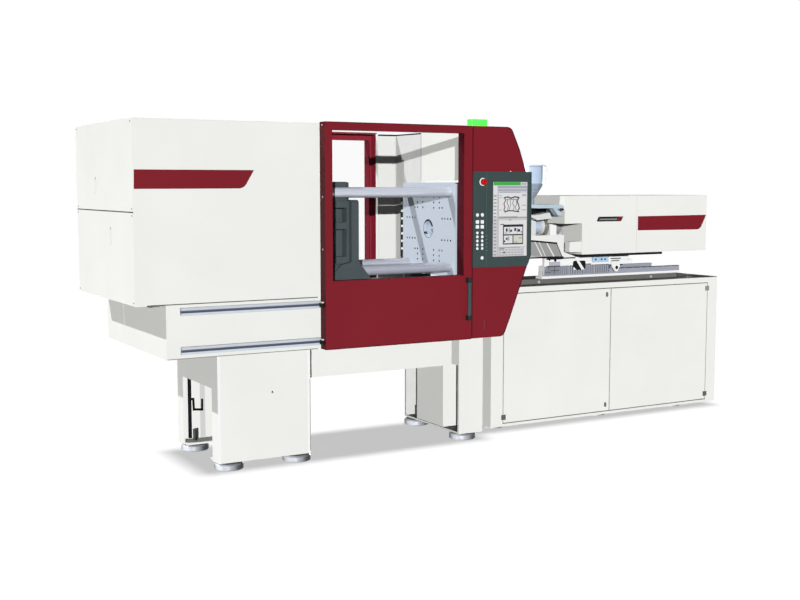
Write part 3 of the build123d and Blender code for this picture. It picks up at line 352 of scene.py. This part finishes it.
# door rails: the back of each groove painted dark below and mid grey above as painted shade, and a slightly lighter
# band on the face under each groove
M_RAIL = zones(steel("rail_metal", (206, 212, 220), rough=(0.35, 0.5), metal=0.15),
               [((82, 90, 110), (None, None, -0.5865, -0.58, z - 0.0085, z + 0.003)) for z in (0.729, 0.951)]
               + [((140, 148, 164), (None, None, -0.5865, -0.58, z + 0.003, z + 0.0085)) for z in (0.729, 0.951)]
               + [((212, 220, 230), (None, None, None, -0.6005, z - 0.0225, z - 0.0079)) for z in (0.729, 0.951)])
M_SLIDE = steel("linear_rail_metal", (170, 174, 188), rough=(0.35, 0.5), metal=0.2, var=0.1)
# tie bars: painted shade makes the lower bars darker, and the facing ramp paints the undersides dark and the tops light
M_CHROME = painted_facing_shade(zones(steel("hard_chrome", (226, 232, 246), rough=(0.22, 0.32), metal=0.15, var=0.03),
                        [((196, 200, 214), (None, None, None, None, None, 1.3))]),
                  (0, 0, 1), [(0.02, 0.42), (0.12, 0.74), (0.30, 0.88), (0.52, 0.92), (0.60, 1.0), (1.0, 1.0)])
# fixed platen: painted shade in its holes and on its front side face, with a painted lit area and two dark bands inside
# the locating bore
M_PLATEN = zones(steel("ground_platen", (206, 216, 229), rough=(0.35, 0.5), stretch=(20, 1, 20), metal=0.1, var=0.02),
                 [((40, 46, 62), (-0.1225, 0.0365, -0.497, 0.176, 0.991, 1.677)),
                  ((208, 222, 240), (-0.1225, 0.0365, -0.2235, -0.0965, 1.3085, 1.4355)),
                  ((44, 60, 78), (-0.1225, -0.0985, -0.2235, -0.0965, 1.335, 1.350)),
                  ((44, 60, 78), (-0.1225, -0.0985, -0.2235, -0.0965, 1.420, 1.4355)),
                  ((122, 127, 130), (None, None, None, -0.4975, None, None))])
# levelling feet: the ramp across the cylinder paints a highlight left of centre and shade towards both sides; above the
# pad darker
M_FOOT = painted_facing_shade(zones(steel("foot_metal", (236, 240, 250), rough=(0.3, 0.45), stretch=(1, 1, 30), metal=0.2),
                      [((70, 72, 76), (None, None, None, None, 0.0455, None))]),
                (0.868, -0.496, 0), [(0.0, 0.10), (0.05, 0.5), (0.14, 0.95), (0.28, 1.0), (0.5, 0.58), (0.74, 0.40),
                                     (0.86, 0.12), (1.0, 0.02)])
# hopper: its cone is painted darker as painted shade; the black strip at the far right is the knob on its rim
M_HOPPER = zones(steel("hopper_metal", (208, 228, 255), rough=(0.2, 0.32), stretch=(1, 1, 12), metal=0.12, var=0.04),
                 [((176, 192, 212), (None, None, None, None, None, 1.672)),
                  ((24, 25, 28), (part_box("hopper")[1][0] - 0.0158, None, None, None, None, None))])
M_PALEBLUE = zones(steel("pale_blue_metal", (194, 213, 226), rough=(0.3, 0.42), metal=0.1, var=0.03),
                   [((20, 20, 22), (None, None, None, -0.4345, None, None))])
M_HEATER = steel("heater_metal", (168, 168, 166), rough=(0.35, 0.5), stretch=(30, 1, 1), metal=0.3, var=0.12)
# barrel: white flange ring, then painted shade: a grey band and a grey rear part inside the hood
M_BARREL = zones(steel("barrel_metal", (205, 218, 240), rough=(0.25, 0.36), stretch=(1, 30, 30), metal=0.2, var=0.05),
                 [((245, 245, 240), (0.7795, 0.8005, None, None, None, None)),
                  ((140, 138, 136), (0.8005, 0.8225, None, None, None, None)),
                  ((175, 176, 176), (0.8225, None, None, None, None, None))])
M_GLASS = glass("door_pane", (40, 44, 46), 0.012)
M_MANIFOLD = zones(paint("manifold_black", (30, 32, 34), rough=(0.4, 0.55), var=0.1, scale=20),
                   [((250, 250, 248), (None, -0.1205, None, None, None, None))])
M_HANDLE = zones(paint("handle_grey_green", (64, 80, 80), rough=(0.4, 0.5), var=0.05, scale=20),
                 [((34, 41, 41), (None, None, None, None, None, 0.8392)), ((34, 41, 41), (None, None, None, None, 1.0488, None))])
M_HINGE = zones(paint("hinge_grey", (150, 150, 150), rough=(0.4, 0.55), var=0.12, scale=60),
                [((98, 98, 98), (None, None, None, None, None, 0.5))])
M_LOCK = paint("lock_grey", (112, 114, 116), rough=(0.4, 0.55), var=0.12, scale=60)
M_WINE_EDGE_SHADE = paint("wine_edge_shade", (66, 8, 20), rough=(0.5, 0.62), var=0.05, scale=20)
M_PORT = paint("manifold_port_white", (246, 246, 244), rough=(0.4, 0.5), var=0.02, scale=30)
M_SEAM = paint("seam_grey", (150, 150, 150), rough=(0.6, 0.7), var=0.05, scale=20)
M_DARKSEAM = paint("seam_dark", (92, 92, 92), rough=(0.6, 0.7), var=0.05, scale=20)


def green_lamp():
    m, nt, b = new_mat("signal_green_lens")
    c = lin((85, 255, 85))
    v = coords(nt)
    col = ramp(nt, noise(nt, v, 25.0), [(0.3, shade(c, 0.94)), (0.7, c)])
    nt.links.new(col, b.inputs["Base Color"])
    nt.links.new(col, b.inputs["Emission Color"])
    b.inputs["Emission Strength"].default_value = 0.55
    b.inputs["Roughness"].default_value = 0.3
    return m


M_GREEN = green_lamp()

put(M_PEDESTAL, "left_pedestal")
put(M_LEG, "middle_leg")
put(M_WHITE, "clamp_bed", "service_housing", "clamp_cover",
    "cover_end_upper", "cover_end_lower", "injection_cabinet", "cabinet_door_left",
    "cabinet_door_right", "hood_front", "hood_rear")
put(M_BASE, "injection_base")
put(M_RED, "front_door", "fixed_guard")
put(M_RED_REAR_LIT, "rear_door")
put(M_WALL, "rear_guard")
put(M_TOP_SHADE, "top_plate")
put(M_CARRIAGE, "injection_carriage")
put(M_THROAT, "throat_block")
put(M_GUARD, "barrel_guard")
put(M_CAST, "moving_platen", "end_platen")
put(M_CAST2, "crosshead", "rear_link_upper", "rear_link_lower", "front_link_upper", "front_link_lower",
    "clamp_drive", "injection_plate")
put(M_STEEL, "cross_link_upper", "cross_link_lower", "clamp_screw", "tie_bar_nuts", "platen_rails",
    "platen_shoes", "ejector", "nozzle", "plasticising_screw")
put(M_HINGE, "cabinet_hinges")
put(M_LOCK, "lock_upper", "lock_lower")
put(M_HANDLE, "front_handle")
put(M_SLIDE, "injection_rails")
put(M_BARREL, "barrel")
put(M_PALEBLUE, "hopper_slide")
put(M_RAIL, "door_rails")
put(M_CHROME, "tie_bars")
put(M_PLATEN, "fixed_platen")
put(M_FOOT, "levelling_feet")
put(M_HOPPER, "hopper")
put(M_HEATER, "heater_bands")
put(M_GLASS, "front_window", "rear_window")
put(M_HOUSING, "panel_housing")
put(M_KEY, "panel_keys")
put(M_SCREEN, "screen")
put(M_MANIFOLD, "water_manifold")
put(M_SIGRED, "e_stop")
put(M_GREEN, "beacon")

# ------------------------------------------------------------------- details
piece("stripe_left", [(rounded([(-2251, 1745), (-1547, 1746), (-1610, 1641), (-2253, 1639)], {2: 55}), "y", -581.2, -580.1)],
      M_RED, "frame")
piece("stripe_right", [(rounded([(1452, 1440), (2110, 1443), (2052, 1336), (1452, 1340)], {2: 55}), "y", -451.2, -450.1)],
      M_RED, "carriage")
piece("hood_slot_insert", [([(1079, 1408), (1296, 1408), (1317, 1441), (1095, 1441)], "y", -449.6, -447.1)], M_BLACK, "carriage")
piece("hood_slot_bar", [([(1100, 1418), (1256, 1418), (1262, 1427), (1105, 1427)], "y", -450.1, -449.6)], M_SEAM, "carriage")
piece("hood_slot_flag", [([(1259, 1410), (1290, 1410), (1310, 1439), (1268, 1439)], "y", -450.3, -449.6)], M_RED, "carriage")

# screen: plain fields of colour, lines and boxes
Y0, Y1, Y2, Y3 = -690.02, -690.25, -690.5, -690.75
M_SGREEN = paint("screen_green", (70, 178, 76), rough=(0.2, 0.28), var=0.02, peel=0.0)
M_SWHITE = paint("screen_white", (228, 228, 228), rough=(0.2, 0.28), var=0.01, peel=0.0)
M_SLILAC = paint("screen_lilac", (168, 170, 188), rough=(0.2, 0.28), var=0.03, scale=40, peel=0.0)
M_SGREY = paint("screen_grey", (150, 148, 152), rough=(0.2, 0.28), var=0.03, scale=40, peel=0.0)
M_SDARK = paint("screen_dark", (52, 50, 58), rough=(0.2, 0.28), var=0.05, scale=40, peel=0.0)
M_SMAUVE = paint("screen_mauve", (148, 120, 128), rough=(0.2, 0.28), var=0.04, scale=40, peel=0.0)
M_SCREAM = paint("screen_cream", (214, 214, 200), rough=(0.2, 0.28), var=0.03, scale=40, peel=0.0)


def field(name, mat, boxes, near, far):
    return piece(name, [(rect(*q), "y", near, far) for q in boxes], mat, "frame")


field("screen_header", M_SGREEN, [(42, 252, 1660, 1680)], Y1, Y0)
field("screen_white_fields", M_SWHITE, [(253, 302, 1660, 1679), (40, 70, 1600, 1656), (42, 68, 1460, 1592), (84, 300, 1462, 1612),
                                       (84, 300, 1268, 1436), (284, 302, 1206, 1262)], Y1, Y0)
field("screen_lilac_rows", M_SLILAC, [(74, 300, 1641, 1655), (74, 298, 1624, 1634), (86, 250, 1612, 1619)], Y1, Y0)
field("screen_grey_lines", M_SGREY,
      [(76, 302, 1449, 1454), (86, 226, 1455, 1460), (76, 78, 1206, 1600), (84, 250, 1260, 1264), (160, 182, 1436, 1442)]
      + [(44, 64, z, z + 7) for z in range(1214, 1592, 22)]
      + [(258 + 14 * i, 266 + 14 * i, 1662, 1676) for i in range(3)]
      + [(88 + 24 * i, 104 + 24 * i, 1212, 1216) for i in range(8)]
      + [(88 + 24 * i, 104 + 24 * i, 1228, 1232) for i in range(8)]
      + [(88 + 24 * i, 100 + 24 * i, 1244, 1248) for i in range(8)]
      + [(88, 104, z, z + 4) for z in (1592, 1578, 1500)] + [(262, 296, z, z + 4) for z in (1598, 1590, 1530, 1500)], Y2, Y0)
left = [(128, 1580), (134, 1562), (122, 1542), (129, 1520), (122, 1502), (133, 1490)]
shapes = stroke([(124, 1580), (150, 1586), (176, 1577), (206, 1586), (238, 1582)], 8) \
    + stroke([(130, 1491), (160, 1498), (194, 1496), (238, 1490)], 7) \
    + stroke([(236, 1578), (225, 1556), (237, 1534), (241, 1512), (229, 1494)], 7)
inner = stroke([(152, 1572), (146, 1548), (157, 1528), (150, 1500)], 6) + stroke([(170, 1566), (174, 1536), (165, 1508)], 5) \
    + stroke([(197, 1570), (190, 1544), (201, 1522), (195, 1502)], 6) + stroke([(216, 1570), (222, 1542), (210, 1520), (217, 1502)], 6) \
    + stroke([(140, 1568), (226, 1570)], 5)
piece("screen_diagram", [(q, "y", Y2 - 0.02 * (i % 3), Y0) for i, q in enumerate(shapes)], M_SDARK, "frame")
piece("screen_diagram_inner", [(q, "y", Y2 + 0.08 - 0.02 * (i % 3), Y0) for i, q in enumerate(inner)], M_SGREY, "frame")
piece("screen_diagram_left", [(q, "y", Y2 - 0.02 * (i % 3), Y0) for i, q in enumerate(stroke(left, 8))], M_SMAUVE, "frame")
field("screen_tab", M_SDARK, [(94, 124, 1408, 1413), (116, 274, 1394, 1409), (123, 268, 1339, 1347), (116, 123, 1289, 1394),
                              (268, 274, 1289, 1394), (116, 274, 1281, 1289), (191, 198, 1289, 1339)], Y3, Y0)
field("screen_tiles_light", M_SWHITE, [(122, 190, 1350, 1394), (198, 268, 1350, 1394), (122, 190, 1288, 1338)], Y1 - 0.1, Y0)
field("screen_tile_cream", M_SCREAM, [(198, 268, 1288, 1338)], Y1 - 0.1, Y0)
field("screen_tile_marks", M_SDARK, [(138, 152, 1364, 1384), (172, 186, 1362, 1376), (204, 218, 1366, 1386), (232, 250, 1362, 1378),
                                     (124, 134, 1296, 1308), (138, 150, 1312, 1324), (256, 264, 1356, 1364)], Y2, Y0)
field("screen_tile_tints", M_SLILAC, [(160, 170, 1356, 1388), (150, 166, 1306, 1332), (222, 232, 1356, 1384), (128, 150, 1352, 1358),
                                      (204, 230, 1292, 1300), (240, 262, 1318, 1326)], Y2, Y0)
field("screen_foot_marks", M_SDARK, [(120, 132, 1226, 1236), (86, 128, 1252, 1256)], Y3, Y0)

# panel: joint line, marks beside the keys, white ring behind the emergency stop as a painted highlight
field("panel_joint_line", paint("panel_line", (98, 112, 112), var=0.03, scale=20), [(-18.5, -16.5, 1142, 1742)], -698.35, -698.02)
field("panel_key_marks", paint("panel_marks", (120, 132, 132), var=0.03, scale=20),
      [(-22, -8, z, z + 3) for z in (1247, 1270, 1293, 1316, 1339)], -698.4, -698.02)
field("guard_mark", M_DARKSEAM, [(-18.5, -16, 739, 803)], -681.0, -679.9)
piece("e_stop_highlight_ring", [(disc(-48, 1681, 25, 40), "y", -700.5, -697.9)], M_PORT, "frame", soften=0.6)
piece("panel_top_lamp", [(disc(168, -694, 5), "z", 1745.6, 1750.5)], M_PORT, "frame", soften=1.2)

# cabinet: gasket lines round the two doors
M_LINE = paint("gasket_dark", (88, 88, 86), rough=(0.6, 0.7), var=0.08, scale=20)
M_LINE2 = paint("gasket_grey", (140, 140, 138), rough=(0.6, 0.7), var=0.08, scale=20)
M_INK = paint("gap_black", (16, 17, 18), rough=(0.6, 0.7), var=0.1, scale=20)
field("cabinet_gasket_lines", M_LINE, [(307, 2166, 931, 936.5), (307, 2166, 48.5, 54)], -430.2, -429.9)
field("cabinet_gasket_sides", M_LINE2, [(307, 312, 54, 931), (2161, 2166, 54, 931)], -430.2, -429.9)
piece("door_edge_gasket", [(rect(1230, 1234.6, 55.5, 929.5), "y", -431.25, -430.9)], M_LINE2, "cabinet_door_left")
piece("top_plate_rear_lip", [(rect(211, 2256, 229, 234.8), "z", 978, 982)], M_INK, "frame")

# clamp cover, bed and pedestal: joints between the sheets, painted shade under the cover's lower edge and in the
# pedestal's portal, and a glowing strip as painted light
piece("cover_joint_gap", [(rect(-580, 600, 1507, 1514), "x", -2260.4, -2259.8)], M_DARKSEAM, "frame")
# painted shadow along the cover's lower front edge
field("cover_lower_edge_shadow", M_LINE, [(-2193, -1146, 990.5, 996)], -580.35, -579.9)
field("bed_lower_joint", M_LINE2, [(-2080, -1146, 680.5, 685)], -575.35, -574.9)
field("pedestal_side_joint", M_LINE, [(-1189.5, -1186.3, 60, 500)], -550.3, -549.9)
# painted shade: a black strip in the portal's gap; the strokes draw the black hook of a bracket
piece("portal_gap", [(rect(-1717, -1692, 60, 455), "y", 139.4, 140.0)]
      + [(q, "y", 139.0, 139.9) for q in stroke([(-1707, 312), (-1680, 310), (-1677, 243), (-1622, 238), (-1621, 300)], 15)],
      M_INK, "frame")
# painted light: a white strip glowing on its own stands for the lit edge inside the pedestal's portal
M_PORTAL_GLOW = paint("portal_edge_painted_light", (250, 250, 248))
glow_bsdf = M_PORTAL_GLOW.node_tree.nodes["Principled BSDF"]
glow_bsdf.inputs["Emission Color"].default_value = (1, 1, 1, 1)
glow_bsdf.inputs["Emission Strength"].default_value = 0.8
piece("portal_edge_glow", [(rect(-1748, -1717, 60, 470), "y", 138.8, 139.9)], M_PORTAL_GLOW, "frame")
piece("portal_side_shade", [(rect(-1635, -1602, 60, 425), "y", 139.5, 140.0)], paint("portal_shade", (214, 214, 212)), "frame")
piece("leg_pocket_lines", [(rect(-44, -36, 60, 400), "y", 132.6, 133.0), (rect(142, 149.5, 60, 490), "x", -123.35, -122.9)],
      M_LINE, "frame")

# rear wall inside the guard: joint of its two sheets and a black strip along its top edge
piece("rear_wall_joint", [(rect(241, 245, 1693, 2017), "x", 60.6, 61.0)], M_LINE, "frame")
piece("rear_wall_top_black_strip", [(rect(-106.5, 60.5, 2015, 2026), "y", 596.4, 597.0), (rect(243, 596.4, 2017, 2026), "x", 60.4, 61.0)],
      M_INK, "frame")

# rear guard door: sealing profile on its top edge
lo, hi = (Vector(v) * 1000 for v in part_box("rear_door"))
piece("rear_door_top_seal", [(rect(lo.x + 1, hi.x - 1, hi.z, hi.z + 8), "y", lo.y + 4, lo.y + 16)], M_RED_REAR_LIT, "rear_door", soften=2.0)

# locating bore: painted shade, a dark ring round its rim and a dark arc inside its upper half
piece("bore_rim", [(q, "x", -122.9 - 0.01 * (i % 2), -122.4) for i, q in enumerate(
    stroke([(A_Y * 1000 + 63.5 * math.cos(math.pi * k / 20), 1372 + 63.5 * math.sin(math.pi * k / 20)) for k in range(41)], 7)
    + stroke([(A_Y * 1000 + 58 * math.cos(math.pi * k / 20), 1372 + 58 * math.sin(math.pi * k / 20)) for k in range(5, 19)], 7))],
      paint("bore_rim_shade", (26, 34, 46), rough=(0.5, 0.6), var=0.04), "frame")

# guard door and fixed guard: painted shade, dark lines along the folded edges
field("guard_left_edge", M_WINE_EDGE_SHADE, [(-111.8, -107, 689, 1140), (-111.8, -107, 1747, 2029)], -680.35, -679.9)
piece("guard_right_edge",
      [(q, "y", -680.35 - 0.01 * (i % 2), -679.9) for i, q in enumerate(
          stroke([(146, 2026.5), (166, 2022.5), (182, 2013), (192.5, 1998), (246.5, 1884.5), (295.2, 1749)], 6)
          + stroke([(311.5, 1137), (257.6, 1003.5), (180.6, 805.5), (142.6, 717.6), (131.4, 702), (120.6, 694.4), (104, 691.4)], 6))],
      M_WINE_EDGE_SHADE, "frame")
piece("door_edge_lines", [(rect(-1138, -116, 2025.5, 2029.8), "y", -680.35, -679.9), (rect(-1138, -116, 685.2, 690), "y", -680.35, -679.9)],
      M_WINE_EDGE_SHADE, "front_door")
piece("door_edge_screws", [(disc(-645, z, 6), "x", -1144.4, -1141.9) for z in (2010, 1590, 1281)],
      paint("edge_screw", (214, 176, 184), rough=(0.35, 0.45), var=0.05, scale=30), "front_door", soften=0.8)
piece("door_roller_blocks", [(rect(-656, -612, zc - 14, zc + 12), "x", -1153, -1142.1) for zc in (729, 951)],
      M_INK, "front_door", soften=2.0)
piece("door_roller_pads", [(rect(-652, -616, zc + 12.1, zc + 20), "x", -1151, -1142.1) for zc in (729, 951)],
      M_PORT, "front_door", soften=1.0)

# barrel guard: black rim of its window, thickened along the top as painted shadow, a painted shadow line under its
# lower edge, painted reflection streaks on the pane
piece("guard_window_rim_and_shadow", [(q, "y", -385.3 - 0.01 * (i % 2), -384.9) for i, q in enumerate(
    stroke([(180, 1290), (578, 1281), (780, 1261)], 11) + stroke([(780, 1260), (828, 1167), (180, 1180)], 5))], M_INK, "carriage")
piece("barrel_guard_edge_shadow", [(rect(118.5, 842.5, 1160.5, 1168), "y", -385.25, -384.9)], M_INK, "carriage")
piece("pane_painted_reflection", [([(590, 1278), (600, 1277), (668, 1168), (657, 1168)], "y", -381.3, -380.9),
                     ([(628, 1274), (634, 1273), (694, 1168), (687, 1168)], "y", -381.3, -380.9),
                     ([(690, 1268), (703, 1266), (770, 1168), (756, 1168)], "y", -381.3, -380.9)],
      paint("pane_reflection_paint", (232, 232, 230), rough=(0.3, 0.4), var=0.02), "carriage")

# carriage: covers of the guide ways, clamp plate with a striped edge, oil block, eye bracket
M_RIB = paint("guide_rib_grey", (104, 108, 120), rough=(0.45, 0.6), var=0.06, scale=30)
M_STEP = paint("guide_step_grey", (138, 142, 154), rough=(0.45, 0.6), var=0.05, scale=30)
M_MAUVE = paint("guide_step_mauve", (190, 186, 196), rough=(0.45, 0.6), var=0.04, scale=30)
M_OILBLUE = paint("oil_block_blue", (182, 212, 236), rough=(0.35, 0.5), var=0.03, scale=30)


def bellows(x0, x1, near, deep, folds):
    w = (x1 - x0) / folds
    front = []
    for i in range(folds):
        front += [(x0 + w * i, deep), (x0 + w * (i + 0.5), near)]
    return front + [(x1, deep), (x1, deep + 2), (x0, deep + 2)]


piece("way_bellows", [(bellows(x0, x1, -344, -338, n), "z", 1038, 1098) for x0, x1, n in ((838.3, 924.7, 5), (1055.3, 1154.7, 6))],
      M_STEP, "carriage")
piece("guide_block_ribs", [(rect(x, x + 6, 1040, 1098), "y", -344.9, -343.95) for x in (930, 952, 974, 996, 1018, 1040)]
      + [(rect(x, x + 6, 1040, 1098), "y", -344.9, -343.95) for x in (1158, 1178, 1198, 1218, 1238, 1258, 1276)]
      + [(rect(931, 1054, 1094, 1099), "y", -345.2, -343.95), (rect(1157, 1284, 1094, 1099), "y", -345.2, -343.95)],
      M_RIB, "carriage")
piece("guide_step_front", [(rect(722, 837, 1040, 1094), "y", -347, -343.95), (rect(709, 726, 1042, 1077), "y", -346, -343.95)],
      M_STEP, "carriage", soften=0.8)
piece("guide_step_upper", [(rect(742, 838, 1103, 1130), "y", -353, -349.95)], M_MAUVE, "carriage", soften=0.8)
piece("guide_step_lines", [(rect(722, 838, 1094.2, 1102.8), "y", -350.4, -349.95), (rect(740, 745, 1078, 1094), "y", -347.6, -346.95),
                           (rect(760, 836, 1066, 1071), "y", -347.6, -346.95), (rect(712, 760, 1056, 1061), "y", -347.6, -346.95),
                           (rect(790, 795, 1044, 1092), "y", -347.6, -346.95)], M_LINE, "carriage")
piece("way_clamp_plate", [(rounded([(952, 1067), (1062, 1067), (1062, 1131), (952, 1131)], {0: 12, 1: 12, 2: 12, 3: 12}, 4), "y", -352.6, -349.95)],
      M_INK, "carriage")
piece("way_clamp_stripes", [([(982, 1130), (1006, 1130), (1054, 1068), (1026, 1068)], "y", -353.0, -352.55),
                            ([(954, 1069), (982, 1068), (955, 1090)], "y", -353.0, -352.55)], M_PORT, "carriage")
piece("frame_skirt", [(rect(976, 1121, 1128.2, 1157), "y", -349.9, -347)], M_CARRIAGE, "carriage", soften=0.8)
piece("oil_block", [(rect(1122, 1267, 1116, 1158), "y", -357, -349.95)], M_OILBLUE, "carriage", soften=1.5)
piece("oil_block_screws", [(disc(x, 1136, 7), "y", -358.2, -356.9) for x in (1203, 1234, 1150)], M_INK, "carriage", soften=0.6)
# painted shadow: a black band over the oil block where the hood's shade falls, and a short black line lower down
piece("oil_block_dark_lines", [(rect(1036, 1262, 1158.2, 1165), "y", -357.4, -349.95), (rect(1062, 1114, 1101, 1108), "y", -350.8, -349.95)],
      M_INK, "carriage")
piece("eye_bracket", [(rounded([(1290, 1118), (1376, 1116), (1374, 1074), (1352, 1044), (1330, 1044), (1302, 1078)], {2: 14, 3: 10, 4: 10, 5: 8}, 4),
                       "y", -356, -349.95)], M_PORT, "carriage", soften=1.0)
# the eye's bore is a black disc of painted shade; a black line runs along the bracket's top
piece("eye_bracket_bore", [(disc(1344, 1072, 13), "y", -356.5, -355.95), (rect(1300, 1372, 1118.2, 1124), "y", -351.0, -349.95)],
      M_INK, "carriage")
piece("plate_bolts", [(disc(746, 1147, 7), "y", -353.5, -349.95), (disc(795, 1140, 10), "y", -354.5, -349.95)], M_INK, "carriage", soften=1.0)
# painted shadow: black lines under the barrel guard and along the plate below it
piece("plate_front_shadow_line", [(rect(838, 973.5, 1149, 1156), "y", -350.6, -349.95), (rect(700, 842, 1150, 1160.4), "y", -385.2, -383.4)],
      M_INK, "carriage")
piece("frame_front_lines", [(rect(1300, 1394, 1133, 1140), "y", -340.5, -339.95)], M_INK, "carriage")
piece("frame_front_band", [(rect(1300, 1452, 1150, 1163), "y", -340.4, -339.95)], M_SEAM, "carriage")
piece("rail_end_cap", [(rect(-327, -293, 1027, 1068), "x", 698.6, 700.9)], M_PORT, "frame", soften=0.8)
piece("rail_top_line", [(rect(1374 + 75 * i, 1440 + 75 * i, 1061, 1066), "y", -325.35, -324.95) for i in range(8)], M_LINE, "frame")


# screws
def screw_heads(name, mat, body, axis, at, r, lo, hi):
    return piece(name, [(disc(a, z, r), axis, lo, hi) for a, z in at], mat, body, soften=0.5)


screw_heads("end_cover_screws", M_SEAM, "frame", "x",
            [(y, z) for y in (-560, 580) for z in (2008, 1530)] + [(y, z) for y in (-560, 580) for z in (1492, 1010)], 5, -2262.2, -2260.0)

# -------------------------------------------------------------------- camera
cam_data = bpy.data.cameras.new("photo_camera")
cam = bpy.data.objects.new("photo_camera", cam_data)
scene.collection.objects.link(cam)
cam.location = (-4.1527, -6.8265, 1.6531)
cam.rotation_euler = (math.radians(90 - 5.588), 0.0, math.radians(-29.765))
cam_data.lens = 52.29
cam_data.sensor_width = 36.0
cam_data.clip_end = 200.0
scene.camera = cam

# --------------------------------------------------------------------- stage
me = bpy.data.meshes.new("floor")
me.from_pydata([(-40, -40, 0), (40, -40, 0), (40, 40, 0), (-40, 40, 0)], [], [(0, 1, 2, 3)])
floor = bpy.data.objects.new("floor", me)
scene.collection.objects.link(floor)
fm, fnt, fb = new_mat("pale_floor")
fv = coords(fnt)
fnt.links.new(ramp(fnt, noise(fnt, fv, 0.8), [(0.3, (0.87, 0.87, 0.87, 1)), (0.7, (0.89, 0.89, 0.89, 1))]),
              fb.inputs["Base Color"])
fb.inputs["Roughness"].default_value = 0.9
fb.inputs["Specular IOR Level"].default_value = 0.1
fb.inputs["Emission Color"].default_value = (1, 1, 1, 1)
fb.inputs["Emission Strength"].default_value = 0.51
me.materials.append(fm)
floor.visible_diffuse = False


def sun(name, travel, strength, angle=1.0, shadow=True):
    d = bpy.data.lights.new(name, "SUN")
    d.energy = strength
    d.angle = math.radians(angle)
    d.use_shadow = shadow
    o = bpy.data.objects.new(name, d)
    scene.collection.objects.link(o)
    o.rotation_euler = Vector(travel).to_track_quat("-Z", "Y").to_euler()
    return o


key_front = sun("key_front", (0.4965, 0.868, -0.113), 3.28, 0.4)
key_rear = sun("key_rear", (1.9, -1.0, -2.1), 2.25, 0.4)
key_back = sun("key_back", (-0.7, -0.71, 0.0), 2.7, 0.4)
floor_top = sun("floor_top", (0.0, 0.0, -1.0), 1.7, 14)

on_floor = bpy.data.collections.new("lit_floor_only")
on_floor.objects.link(floor)
not_floor = bpy.data.collections.new("lit_machine_only")
for o in list(NODES.values()) + LIT:
    not_floor.objects.link(o)
    o.visible_diffuse = False
floor_top.light_linking.receiver_collection = on_floor
# the floor's soft shadow is that of the base alone, as in the photo: two plates stand in for it
base_shade = bpy.data.collections.new("base_shade")
for name, x0, x1, y0, y1 in (("clamp_base_shade", -1.89, 0.09, -0.60, 0.13), ("cabinet_base_shade", 0.09, 2.27, -0.455, 0.24)):
    me = bpy.data.meshes.new(name)
    me.from_pydata([(x0, y0, 0.62), (x1, y0, 0.62), (x1, y1, 0.62), (x0, y1, 0.62)], [], [(0, 1, 2, 3)])
    o = bpy.data.objects.new(name, me)
    scene.collection.objects.link(o)
    me.materials.append(fm)
    o.visible_camera = o.visible_diffuse = o.visible_glossy = o.visible_transmission = False
    base_shade.objects.link(o)
floor_top.light_linking.blocker_collection = base_shade
for lamp in (key_front, key_rear, key_back):
    lamp.light_linking.receiver_collection = not_floor
    lamp.light_linking.blocker_collection = not_floor

world = bpy.data.worlds.new("studio")
scene.world = world
world.use_nodes = True
wnt = world.node_tree
bg = wnt.nodes["Background"]
bg.inputs["Color"].default_value = (1, 1, 1, 1)
bg.inputs["Strength"].default_value = 0.045
bg2 = wnt.nodes.new("ShaderNodeBackground")
bg2.inputs["Color"].default_value = (1, 1, 1, 1)
bg2.inputs["Strength"].default_value = 1.0
lp = wnt.nodes.new("ShaderNodeLightPath")
mix = wnt.nodes.new("ShaderNodeMixShader")
wnt.links.new(lp.outputs["Is Camera Ray"], mix.inputs["Fac"])
wnt.links.new(bg.outputs["Background"], mix.inputs[1])
wnt.links.new(bg2.outputs["Background"], mix.inputs[2])
wnt.links.new(mix.outputs["Shader"], wnt.nodes["World Output"].inputs["Surface"])
